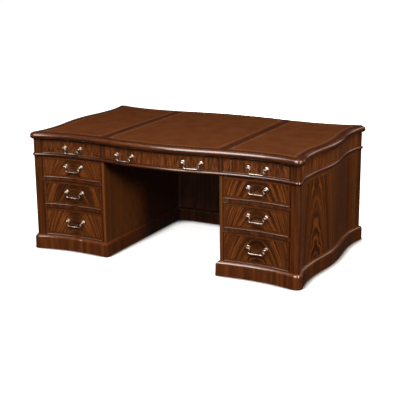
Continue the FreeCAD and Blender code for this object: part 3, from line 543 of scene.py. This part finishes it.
@dataclass(frozen=True)
class Finishes:
    """The desk's shared finishes, each made once."""

    upright: Material = made(StraightWood(
        "polished_mahogany_upright", "#2d1204", "#4b220a", "#663715", Axis.Z, Axis.X))
    # painted shade: a dark band along the post's inner edge, next to the drawers
    post: Material = made(StraightWood(
        "polished_mahogany_post", "#2d1204", "#4b220a", "#663715", Axis.Z, Axis.X, roughness=0.5, coat=0.3,
        sheen="#ffe1a2", painted_shade_from=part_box("right_top_front")[1][0]))
    plinth: Material = made(StraightWood(
        "polished_mahogany_crossbanded", "#3f1d0a", "#5b2e10", "#73431d", Axis.Z, Axis.Y, ribbon=22 * MM,
        roughness=0.34, coat=1.0))
    top: Material = made(StraightWood(
        "polished_mahogany_top", "#2b1307", "#411e0c", "#552b13", Axis.Y, Axis.Z, roughness=0.36, coat=0.5))
    inside: Material = made(StraightWood(
        "waxed_oak", "#7d5c37", "#9c7a4d", "#b8955f", Axis.Y, Axis.X, roughness=0.55, coat=0.0))
    # lighter and greyer than the other mahogany: a painted sheen on the panel deep in the kneehole
    modesty: Material = made(StraightWood(
        "waxed_mahogany_board", "#4c2819", "#6e402a", "#8a5a40", Axis.Z, Axis.X, roughness=0.55, coat=0.1))
    moulding: Material = made(StraightWood(
        "polished_mahogany_moulding", "#2d1205", "#47220b", "#603315", Axis.X, Axis.Y, roughness=0.34,
        coat=1.0))
    frieze: Material = made(StraightWood(
        "polished_mahogany_ribbon", "#3b1b08", "#723b15", "#9f642f", Axis.Z, Axis.X, ribbon=8 * MM))
    leather: Material = made(Leather())
    brass: Material = made(Metal("polished_pale_brass", "#e6ddd4", "#93867a", 12 * MM, 0.3))
    gilt: Material = made(Metal("rubbed_gold_leaf", "#cfa06a", "#8d6238", 6 * MM, 0.5))


def dress(node: str, material: Material) -> None:
    """Give a CAD node one material.

    Args:
        node: Name of the node.
        material: Its material.
    """
    slots = NODES[node].material_slots
    if not slots:
        NODES[node].data.materials.append(material)
    for slot in slots:
        slot.material = material
    LOG.info("%s: %s", node, material.name)


def clear_selection() -> None:
    """Go to object mode with nothing selected."""
    if bpy.context.mode != "OBJECT":
        bpy.ops.object.mode_set(mode="OBJECT")
    bpy.ops.object.select_all(action="DESELECT")


def select_only(piece: Object) -> None:
    """Leave one object selected and active, in object mode.

    Args:
        piece: The object.
    """
    clear_selection()
    piece.select_set(True)
    bpy.context.view_layer.objects.active = piece


def open_all() -> None:
    """Open the active object for modelling with all of it selected."""
    bpy.ops.object.mode_set(mode="EDIT")
    bpy.ops.mesh.select_all(action="SELECT")


def start(primitive: Callable[..., set], **sizes: object) -> Object:
    """Add a primitive with nothing else selected, and open it for modelling.

    Args:
        primitive: Operator that adds the primitive.
        sizes: The operator's settings.

    Returns:
        The new object, in edit mode.
    """
    clear_selection()
    primitive(**sizes)
    open_all()
    return bpy.context.object


def pick(piece: Object, test: Callable[[Vector], bool], mode: str = "VERT") -> None:
    """Select the parts of a piece in edit mode by their place.

    Args:
        piece: The object in edit mode.
        test: Says for a vertex, or for the middle of a face, whether it is taken.
        mode: Select mode, VERT or FACE.
    """
    bpy.ops.mesh.select_mode(type=mode)
    bpy.ops.mesh.select_all(action="DESELECT")
    bpy.ops.object.mode_set(mode="OBJECT")
    parts = piece.data.vertices if mode == "VERT" else piece.data.polygons
    for part in parts:
        part.select = test(part.co if mode == "VERT" else part.center)
    bpy.ops.object.mode_set(mode="EDIT")


def apply_modifier(piece: Object, kind: str, **settings: object) -> None:
    """Add a modifier to a piece and apply it.

    Args:
        piece: The object.
        kind: Type of the modifier.
        settings: Its properties.
    """
    select_only(piece)
    modifier = piece.modifiers.new(kind.lower(), kind)
    for name, value in settings.items():
        setattr(modifier, name, value)
    bpy.ops.object.modifier_apply(modifier=modifier.name)


def join(pieces: Sequence[Object]) -> Object:
    """Join several objects into the first.

    Args:
        pieces: The objects.

    Returns:
        The joined object.
    """
    select_only(pieces[0])
    for piece in pieces:
        piece.select_set(True)
    bpy.ops.object.join()
    return bpy.context.object


def duplicate(model: Object, name: str) -> Object:
    """Copy an object's shape to a new object at the origin.

    Args:
        model: The object copied.
        name: Name of the copy.

    Returns:
        The copy.
    """
    copy = bpy.data.objects.new(name, model.data.copy())
    bpy.context.scene.collection.objects.link(copy)
    return copy


def copies(model: Object, places: Sequence[Matrix]) -> Object:
    """Copy a model to several places and join the copies.

    Args:
        model: Object at the origin.
        places: Where each copy goes.

    Returns:
        The joined copies.
    """
    pieces = [duplicate(model, model.name) for _ in places]
    for piece, place in zip(pieces, places):
        piece.data.transform(place)
    return join(pieces)


def complete(piece: Object, name: str, body: str, material: Material,
             smooth: float = 35.0) -> Object:
    """Clean a modelled piece, name it, dress it and let it ride on its body.

    Args:
        piece: The modelled object.
        name: Name of the piece.
        body: Body it moves with.
        material: Its material.
        smooth: Edges flatter than this, in degrees, are shaded smooth.

    Returns:
        The piece.
    """
    select_only(piece)
    bpy.ops.object.transform_apply(location=True, rotation=True, scale=True)
    open_all()
    bpy.ops.mesh.remove_doubles(threshold=WELD)
    bpy.ops.mesh.normals_make_consistent(inside=False)
    bpy.ops.object.mode_set(mode="OBJECT")
    bpy.ops.object.shade_smooth_by_angle(angle=math.radians(smooth))
    piece.name = name
    piece.data.materials.clear()
    piece.data.materials.append(material)
    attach(piece, body)
    LOG.info("%s: %d faces on %s", name, len(piece.data.polygons), body)
    return piece


@dataclass
class LeatherPanel:
    """Leather let into the top inside a flat outline, with a gilt border tooled into it."""

    name: str
    outline: Object
    finishes: Finishes
    thickness: float = 1.0 * MM
    seam: float = 0.25 * MM
    roll: float = 1.5 * MM
    tooling_inset: float = 12 * MM
    line_width: float = 1.7 * MM
    line_gap: float = 9 * MM
    leaf: float = 5 * MM
    leaf_slimness: float = 0.5
    leaf_pitch: float = 9 * MM
    leaf_height: float = 0.12 * MM
    leaf_top: float = 0.65  # size of a stamp's raised face as a share of its foot
    petal: float = 14 * MM
    petal_slimness: float = 0.28
    petal_reach: float = 0.75  # distance of a petal's middle from the corner as a share of its length
    petals: int = 5
    stamp_sides: int = 8
    corner_turn: float = 30.0
    edge_angle: float = 80.0

    def drawn_in(self, inset: float) -> Object:
        """Copy the outline and draw it in.

        Args:
            inset: How far its edge moves in.

        Returns:
            The smaller face, selected in edit mode.
        """
        piece = duplicate(self.outline, "leather")
        select_only(piece)
        open_all()
        bpy.ops.mesh.select_mode(type="FACE")
        bpy.ops.mesh.inset(thickness=inset)
        bpy.ops.mesh.select_all(action="INVERT")
        bpy.ops.mesh.delete(type="FACE")
        bpy.ops.mesh.select_all(action="SELECT")
        return piece

    def hide(self) -> Object:
        """Model the leather: a thin skin with its edge turned down.

        Returns:
            The object.
        """
        piece = self.drawn_in(self.seam)
        for _ in range(2):
            bpy.ops.mesh.inset(thickness=self.roll)
        bpy.ops.mesh.select_mode(type="EDGE")
        bpy.ops.mesh.select_all(action="DESELECT")
        bpy.ops.mesh.select_non_manifold()
        bpy.ops.transform.translate(value=(0, 0, -self.thickness / 2))
        bpy.ops.mesh.extrude_region_move(TRANSFORM_OT_translate={"value": (0, 0, -self.thickness / 2)})
        bpy.ops.mesh.edge_face_add()
        select_only(piece)
        return piece

    def line(self, inset: float) -> Object:
        """Model one gilt line round the panel.

        Args:
            inset: Distance from the panel's edge.

        Returns:
            The object.
        """
        piece = self.drawn_in(inset)
        bpy.ops.mesh.inset(thickness=self.line_width)
        bpy.ops.mesh.delete(type="FACE")
        apply_modifier(piece, "SOLIDIFY", thickness=self.leaf_height, offset=1.0)
        return piece

    def stamp(self, length: float, slimness: float, reach: float) -> Object:
        """Model one stamped leaf that points along X.

        Args:
            length: Its length.
            slimness: Its width as a share of the length.
            reach: Distance of its middle from the origin.

        Returns:
            The object.
        """
        piece = start(bpy.ops.mesh.primitive_circle_add, vertices=self.stamp_sides, radius=length / 2,
                      fill_type="NGON", location=(0, 0, 0))
        bpy.ops.transform.resize(value=(1, slimness, 1))
        bpy.ops.transform.translate(value=(reach, 0, 0))
        bpy.ops.mesh.extrude_region_move(TRANSFORM_OT_translate={"value": (0, 0, self.leaf_height)})
        bpy.ops.transform.resize(value=(self.leaf_top, self.leaf_top, 1))
        select_only(piece)
        return piece

    def sides(self, inset: float) -> list[list[Vector]]:
        """Points of the drawn-in outline, parted at its sharp corners.

        Args:
            inset: How far the outline is drawn in.

        Returns:
            Each side's points from corner to corner, in order.
        """
        piece = self.drawn_in(inset)
        bpy.ops.object.mode_set(mode="OBJECT")
        points = [piece.data.vertices[i].co.copy() for i in piece.data.polygons[0].vertices]
        bpy.data.objects.remove(piece)
        count = len(points)
        turns = [i for i in range(count) if math.degrees(
            (points[i] - points[i - 1]).angle(points[(i + 1) % count] - points[i])) > self.corner_turn]
        return [[points[i % count] for i in range(first, last + 1)]
                for first, last in zip(turns, turns[1:] + [turns[0] + count])]

    def along(self, side: list[Vector]) -> list[Matrix]:
        """Places of the leaves along one side.

        Args:
            side: Points of the side from corner to corner.

        Returns:
            Evenly spaced places that turn with the side.
        """
        run = sum((after - before).length for before, after in zip(side, side[1:])) - 2 * self.leaf_pitch
        gaps = int(run // self.leaf_pitch)
        places, passed, index = [], self.leaf_pitch, 0
        for before, after in zip(side, side[1:]):
            step = (after - before).length
            turn = Matrix.Rotation(math.atan2(after.y - before.y, after.x - before.x), 4, "Z")
            while passed <= step and index <= gaps:
                places.append(Matrix.Translation(before.lerp(after, passed / step)) @ turn)
                passed += run / gaps
                index += 1
            passed -= step
        return places

    def fan(self, side: list[Vector], following: list[Vector]) -> list[Matrix]:
        """Places of the petals in the corner between two sides.

        Args:
            side: Points of the side that ends in the corner.
            following: Points of the side that starts there.

        Returns:
            Places whose X axes spread over the corner.
        """
        ahead, back = following[1] - following[0], side[-2] - side[-1]
        first = math.atan2(ahead.y, ahead.x)
        spread = (math.atan2(back.y, back.x) - first) % (2 * math.pi)
        return [Matrix.Translation(side[-1]) @ Matrix.Rotation(first + spread * i / (self.petals - 1), 4, "Z")
                for i in range(self.petals)]

    def tooling(self) -> Object:
        """Model all the gilt tooling.

        Returns:
            The object.
        """
        inset, step = self.tooling_inset, self.line_gap + self.line_width
        lines = [self.line(distance) for distance in (inset, inset + step)]
        leaf = self.stamp(self.leaf, self.leaf_slimness, 0)
        petal = self.stamp(self.petal, self.petal_slimness, self.petal * self.petal_reach)
        leaf_sides = self.sides(inset + self.line_width + self.line_gap / 2)
        leaves = copies(leaf, [place for side in leaf_sides for place in self.along(side)])
        inner = self.sides(inset + step + self.line_width)
        fans = copies(petal, [place for side, following in zip(inner, inner[1:] + inner[:1])
                              for place in self.fan(side, following)])
        for model in (leaf, petal):
            bpy.data.objects.remove(model)
        return join([*lines, leaves, fans])

    def build(self) -> None:
        """Model and dress the panel and its tooling."""
        outline = self.outline
        panel = complete(self.hide(), f"leather_{self.name}", "desk", self.finishes.leather,
                         self.edge_angle)
        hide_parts("leather_panels")
        gilt = complete(self.tooling(), f"tooling_{self.name}", "desk", self.finishes.gilt)
        bpy.data.objects.remove(outline)


def build_writing_surface(finishes: Finishes, sunk: float = 0.4 * MM) -> None:
    """Copy the top faces of the three CAD panels, part them and build a leather panel in each.

    Args:
        finishes: The desk's shared finishes.
        sunk: How far the leather lies below the CAD panels.
    """
    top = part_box("leather_panels")[1][2]
    whole = duplicate(NODES["leather_panels"], "leather_outline")
    select_only(whole)
    open_all()
    bpy.ops.mesh.remove_doubles(threshold=2 * WELD)
    pick(whole, lambda middle: middle.z < top - sunk, "FACE")
    bpy.ops.mesh.delete(type="FACE")
    bpy.ops.mesh.select_all(action="SELECT")
    bpy.ops.mesh.dissolve_faces()
    bpy.ops.transform.translate(value=(0, 0, -sunk))
    bpy.ops.mesh.separate(type="LOOSE")
    bpy.ops.object.mode_set(mode="OBJECT")
    faces = [piece for piece in bpy.data.objects if piece.name.startswith("leather_outline")]
    faces.sort(key=lambda piece: piece.data.vertices[0].co.x)
    for name, outline in zip(("left", "centre", "right"), faces):
        LeatherPanel(name, outline, finishes).build()


@dataclass
class PullFittings:
    """Petalled rosettes and inside nuts, modelled once and copied to every post."""

    petals: int = 12
    steps: int = 4
    rings: tuple[tuple[float, float], ...] = (
        (13.7 * MM, 1.5 * MM), (13.5 * MM, 2.2 * MM), (11.2 * MM, 3.5 * MM), (9.0 * MM, 4.2 * MM),
        (7.6 * MM, 4.4 * MM), (7.2 * MM, 3.8 * MM))
    inner_ring: int = 3
    rim_clearance: float = 0.3 * MM
    stand_off: float = 18 * MM
    valley: float = 0.6 * MM
    valley_share: float = 0.94  # how far out the rim reaches between two petals
    petal_angle: float = 50.0
    pull_reach: float = 90 * MM
    nut_sides: int = 6
    nut_radius: float = 4.8 * MM
    nut_height: float = 3.2 * MM
    washer_sides: int = 24
    washer_radius: float = 7 * MM
    washer_height: float = 0.8 * MM
    back: float = 20.6 * MM
    chamfer: float = 0.5 * MM

    def rosette(self) -> Object:
        """Model a ring of petals that lies on a post's domed plate, facing up at the origin.

        Returns:
            The object.
        """
        radius, height = self.rings[0]
        piece = start(bpy.ops.mesh.primitive_circle_add, vertices=self.petals * self.steps, radius=radius,
                      location=(0, 0, 0))
        bpy.ops.transform.translate(value=(0, 0, height))
        for wider, (next_radius, next_height) in zip(self.rings, self.rings[1:]):
            share = next_radius / wider[0]
            bpy.ops.mesh.extrude_region_move(TRANSFORM_OT_translate={"value": (0, 0, next_height - wider[1])})
            bpy.ops.transform.resize(value=(share, share, 1))
        pitch = 2 * math.pi / self.petals
        inner = self.rings[self.inner_ring][0] - self.chamfer

        def in_valley(spot: Vector) -> bool:
            """Whether a point lies between two petals, outside the inner ring."""
            turn = math.atan2(spot.y, spot.x) / pitch
            return abs(turn - round(turn)) < 0.5 / self.steps and spot.xy.length > inner

        pick(piece, in_valley)
        bpy.ops.transform.resize(value=(self.valley_share, self.valley_share, 1))
        bpy.ops.transform.translate(value=(0, 0, -self.valley))
        apply_modifier(piece, "SUBSURF", levels=1, render_levels=1)
        return piece

    def nut(self) -> Object:
        """Model a chamfered hexagonal nut on a washer, facing down at the origin.

        Returns:
            The object.
        """
        washer = start(bpy.ops.mesh.primitive_cylinder_add, vertices=self.washer_sides,
                       radius=self.washer_radius, depth=self.washer_height,
                       location=(0, 0, -self.washer_height / 2))
        bpy.ops.mesh.bevel(offset=self.washer_height / 4, segments=1)
        nut = start(bpy.ops.mesh.primitive_cylinder_add, vertices=self.nut_sides, radius=self.nut_radius,
                    depth=self.nut_height, location=(0, 0, -self.washer_height - self.nut_height / 2))
        bpy.ops.mesh.bevel(offset=self.chamfer, segments=2)
        return join([nut, washer])

    def places(self, pull: str) -> list[Matrix]:
        """Where the two posts of a pull stand, read from the bail's hinge.

        Args:
            pull: Name of the bail's node.

        Returns:
            Places whose Z axis points out of the drawer, with the origin in the seat of the rosette.
        """
        joint = next(j for j in frame["joints"] if j["name"] == pull + "_hinge")
        pivot = Vector(joint["pos_m"])
        along = -Vector(joint["axis"]).normalized()
        up = Vector((0, 0, 1))
        out = along.cross(up)
        offsets = [v.co - pivot for v in NODES[pull.split("_bail")[0] + "_pulls"].data.vertices]
        near = [offset.dot(along) for offset in offsets if offset.length < self.pull_reach]
        reach = (max(near) - min(near)) / 2 - self.rings[0][0] - self.rim_clearance
        seat = pivot - out * self.stand_off
        turn = Matrix((along, up, out)).transposed().to_4x4()
        return [Matrix.Translation(seat + along * reach * side) @ turn for side in (-1, 1)]


@dataclass
class Drawer:
    """One drawer: veneered front, dovetailed oak box and its pulls."""

    name: str
    pulls: list[str]
    finishes: Finishes
    fittings: PullFittings
    seed: float

    def dress(self) -> None:
        """Give the CAD nodes of the drawer their finishes."""
        low, high = (Vector(corner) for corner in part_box(self.name + "_front"))
        veneer = Veneer(
            f"figured_mahogany_{self.name}", Axis.X, (low + high) / 2, (high.x - low.x) / 2,
            (high.z - low.z) / 2, Figure.CROTCH, self.seed)
        if self.name.startswith("frieze"):
            veneer = replace(veneer, figure=Figure.RIBBON, border=9 * MM, streak=7 * MM, fibre=2.4 * MM,
                             dark="#35170a", light="#764422")
        dress(self.name + "_front", veneer.material())
        dress(self.name + "_box", self.finishes.inside)
        for node in [self.name + "_pulls"] + self.pulls:
            dress(node, self.finishes.brass)

    def build(self, rosette: Object, nut: Object) -> None:
        """Copy the petalled rosettes and the nuts to this drawer's posts.

        Args:
            rosette: Model of a rosette.
            nut: Model of a nut.
        """
        places = [place for pull in self.pulls for place in self.fittings.places(pull)]
        behind = [place @ Matrix.Translation((0, 0, -self.fittings.back)) for place in places]
        body = self.name + "_drawer"
        complete(copies(rosette, places), self.name + "_rosettes", body, self.finishes.brass,
                 self.fittings.petal_angle)
        complete(copies(nut, behind), self.name + "_nuts", body, self.finishes.brass)


@dataclass
class Carcass:
    """The fixed body and the two cupboard doors."""

    finishes: Finishes
    figured_from: float = 0.7  # parts the figured outer sides from the plain kneehole walls
    figure_place: float = -0.24
    post: float = 63 * MM  # width of a corner post, which the side panel stops at
    door_seed: int = 31
    side_seed: int = 41

    def dress(self) -> None:
        """Give the CAD nodes of the carcass their finishes."""
        shared = self.finishes
        dressed = (
            (shared.upright, ("frieze_partitions", "pedestal_rails")),
            (shared.post, ("corner_posts",)),
            (shared.modesty, ("modesty_panel",)),
            (shared.plinth, ("right_plinth", "left_plinth", "modesty_plinth")),
            (shared.moulding, ("top_edge_moulding", "waist_moulding")),
            (shared.frieze, ("frieze_panels",)),
            (shared.top, ("top_panel",)),
            (shared.inside, ("frieze_dust_board", "pedestal_floors", "pedestal_partitions", "drawer_runners")),
            (shared.brass, ("right_door_brass", "left_door_brass", "door_hinges")),
        )
        for material, nodes in dressed:
            for node in nodes:
                dress(node, material)
        for index, hand in enumerate(("left", "right")):
            self.panel(hand + "_door", Axis.X, self.door_seed + index)
            self.panel(hand + "_pedestal_sides", Axis.Y, self.side_seed + index)

    def panel(self, node: str, across: Axis, seed: float) -> None:
        """Dress one large veneered panel.

        Args:
            node: CAD node of the panel.
            across: Direction of its width.
            seed: Number that makes its figure its own.
        """
        low, high = (Vector(corner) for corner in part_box(node))
        half_width = (high - low)[across.value] / 2
        if across is Axis.Y:
            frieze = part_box("frieze_panels")
            half_width = min(half_width, (frieze[1][1] - frieze[0][1]) / 2 - self.post)
        veneer = Veneer(
            f"figured_mahogany_{node}", across, (low + high) / 2, half_width, (high.z - low.z) / 2,
            Figure.CROTCH, seed, outward=1.0, border=30 * MM)
        if across is Axis.Y:
            veneer = replace(veneer, off_centre=self.figure_place, bead=0.0, streak=50 * MM, bend=18 * MM,
                             sway=70 * MM, plume=0.0, figured_from=self.figured_from, dark="#2c1104",
                             middle="#582b0d", light="#854c1d", band_dark="#482510", band_light="#7c481f")
        dress(node, veneer.material())


@dataclass(frozen=True)
class Lamp:
    """One soft light that the camera doesn't see, with its width and depth in metres and its power in watts."""

    name: str
    place: tuple[float, float, float]
    target: tuple[float, float, float]
    size: tuple[float, float]
    power: float
    colour: str = "#fff0e2"

    def add(self) -> None:
        """Add the light, turned to its target."""
        place = Vector(self.place)
        bpy.ops.object.light_add(type="AREA", location=place)
        lamp = bpy.context.object
        lamp.name = self.name
        lamp.rotation_euler = (place - Vector(self.target)).to_track_quat("Z", "Y").to_euler()
        lamp.visible_camera = False
        lamp.data.shape = "RECTANGLE"
        lamp.data.size, lamp.data.size_y = self.size
        lamp.data.energy = self.power
        lamp.data.color = linear(self.colour)[:3]


MIDDLE, LOW = (0, 0, 0.5), (0, 0, 0.42)
LAMPS = (
    Lamp("overhead", (-0.2, -1.6, 3.6), (-0.2, -0.8, 0), (3.0, 2.4), 92, "#fff0ea"),
    Lamp("front", (-0.2, -3.5, 3.7), MIDDLE, (3.2, 3.2), 214, "#fff3ea"),
    Lamp("fill", (2.0, -6.5, 1.2), MIDDLE, (2.0, 1.5), 20, "#ffffff"),
    Lamp("right", (2.9, -0.3, 4.1), MIDDLE, (1.2, 1.2), 92),
    Lamp("low_right", (4.2, -2.6, 2.1), MIDDLE, (0.8, 0.8), 106),
    Lamp("rim", (2.0, 3.6, 2.4), (0.9, 0, 0.5), (1.4, 1.4), 8, "#ffe4d2"),
    Lamp("back", (-1.2, 5.4, 0.42), LOW, (2.4, 0.7), 130),
    Lamp("left", (-4.6, 1.4, 0.42), LOW, (2.4, 0.7), 45),
)


@dataclass
class Studio:
    """Camera at the photograph's angle, soft lights and a plain white floor.

    The camera was fitted to the photograph's outlines. Angles are in degrees, its distances are in heights of
    the desk, and its lens and sensor are in millimetres.
    """

    height: float = 0.7874
    azimuth: float = 27.642
    elevation: float = 15.347
    roll: float = -0.587
    distance: float = 8.4063
    aside: float = 0.0032
    above: float = 0.366
    focal_length: float = 87.515
    sensor: float = 36.0
    floor_size: float = 60.0
    floor_glow: float = 0.88
    glow_from: float = 1.5
    glow_to: float = 5.0
    contact_shadow_reach: float = 0.13
    shaded_below: float = 0.5
    clear_above: float = 0.85
    paper: str = "#f4f4f4"
    shaded_paper: str = "#5c5c5e"
    ambient: float = 0.012

    def camera(self) -> None:
        """Add the fitted camera."""
        turn, tilt, roll = (math.radians(angle) for angle in (self.azimuth, self.elevation, self.roll))
        back = Vector((math.sin(turn) * math.cos(tilt), -math.cos(turn) * math.cos(tilt), math.sin(tilt)))
        right = Vector((math.cos(turn), math.sin(turn), 0))
        up = back.cross(right)
        place = (back * self.distance + right * self.aside + up * self.above) * self.height
        level = math.cos(roll) * right + math.sin(roll) * up
        upward = math.cos(roll) * up - math.sin(roll) * right
        bpy.ops.object.camera_add(location=place)
        camera = bpy.context.object
        camera.rotation_euler = Matrix((level, upward, back)).transposed().to_euler()
        camera.data.lens = self.focal_length
        camera.data.sensor_width = self.sensor
        bpy.context.scene.camera = camera

    def floor(self) -> None:
        """Add the floor: glowing paper, dimmer close to the desk, with painted contact shadow from ambient
        occlusion in its colour and glow. It throws no light on the desk.
        """
        material, tree, shader = blank_material("white_studio_paper")
        spot = add_node(tree, "VectorMath.LENGTH", [add_node(tree, "TexCoord").outputs["Object"]])
        glow = add_node(tree, "MapRange", [spot, self.glow_from, self.glow_to, self.floor_glow, 1.0])
        # painted contact shadow: ambient occlusion darkens the paper's colour and glow near the desk
        under = add_node(tree, "AmbientOcclusion", {"Distance": self.contact_shadow_reach}, samples=8)
        clear = add_node(tree, "MapRange", [under.outputs["AO"], self.shaded_below, self.clear_above, 0.0, 1.0])
        lit = add_node(tree, "Math.MULTIPLY", [glow, clear])
        paper = add_node(tree, "Mix.RGBA", [clear, linear(self.shaded_paper), linear(self.paper)])
        feed(tree, shader, {"Base Color": paper, "Roughness": 0.9, "Specular IOR Level": 0.0,
                            "Emission Color": linear("#ffffff"), "Emission Strength": lit})
        bpy.ops.mesh.primitive_plane_add(size=self.floor_size)
        floor = bpy.context.object
        floor.name = "studio_floor"
        floor.data.materials.append(material)
        floor.visible_glossy = False
        floor.visible_diffuse = False

    def surroundings(self) -> None:
        """White backdrop for the camera, and a dim even light for everything else."""
        world = bpy.data.worlds.new("white_studio")
        world.use_nodes = True
        bpy.context.scene.world = world
        tree = world.node_tree
        tree.nodes.clear()
        path = add_node(tree, "LightPath")
        dim = add_node(tree, "Background", {"Color": (1, 1, 1, 1), "Strength": self.ambient})
        white = add_node(tree, "Background", {"Color": (1, 1, 1, 1), "Strength": 1.0})
        seen = add_node(tree, "MixShader", [path.outputs["Is Camera Ray"], dim, white])
        add_node(tree, "OutputWorld", {"Surface": seen})
        bpy.context.scene.view_settings.view_transform = "Standard"

    def build(self) -> None:
        """Set up the camera, the lights and the floor."""
        self.camera()
        self.floor()
        self.surroundings()
        for lamp in LAMPS:
            lamp.add()


def build_drawers(finishes: Finishes) -> None:
    """Dress the nine drawers and give them their small brass parts.

    Args:
        finishes: The desk's shared finishes.
    """
    fittings = PullFittings()
    rosette = fittings.rosette()
    nut = fittings.nut()
    names = [body.removesuffix("_drawer") for body in frame["bodies"] if body.endswith("_drawer")]
    for index, name in enumerate(names):
        pulls = [node for node in NODES if node.startswith(name + "_bail")]
        drawer = Drawer(name, pulls, finishes, fittings, SEED_STEP * index)
        drawer.dress()
        drawer.build(rosette, nut)
    for model in (rosette, nut):
        bpy.data.objects.remove(model)


def main() -> None:
    """Build and dress the desk and set up the studio."""
    logging.basicConfig(level=logging.INFO, format="%(message)s")
    finishes = Finishes()
    Carcass(finishes).dress()
    build_drawers(finishes)
    build_writing_surface(finishes)
    Studio().build()


if __name__ == "__main__":
    main()
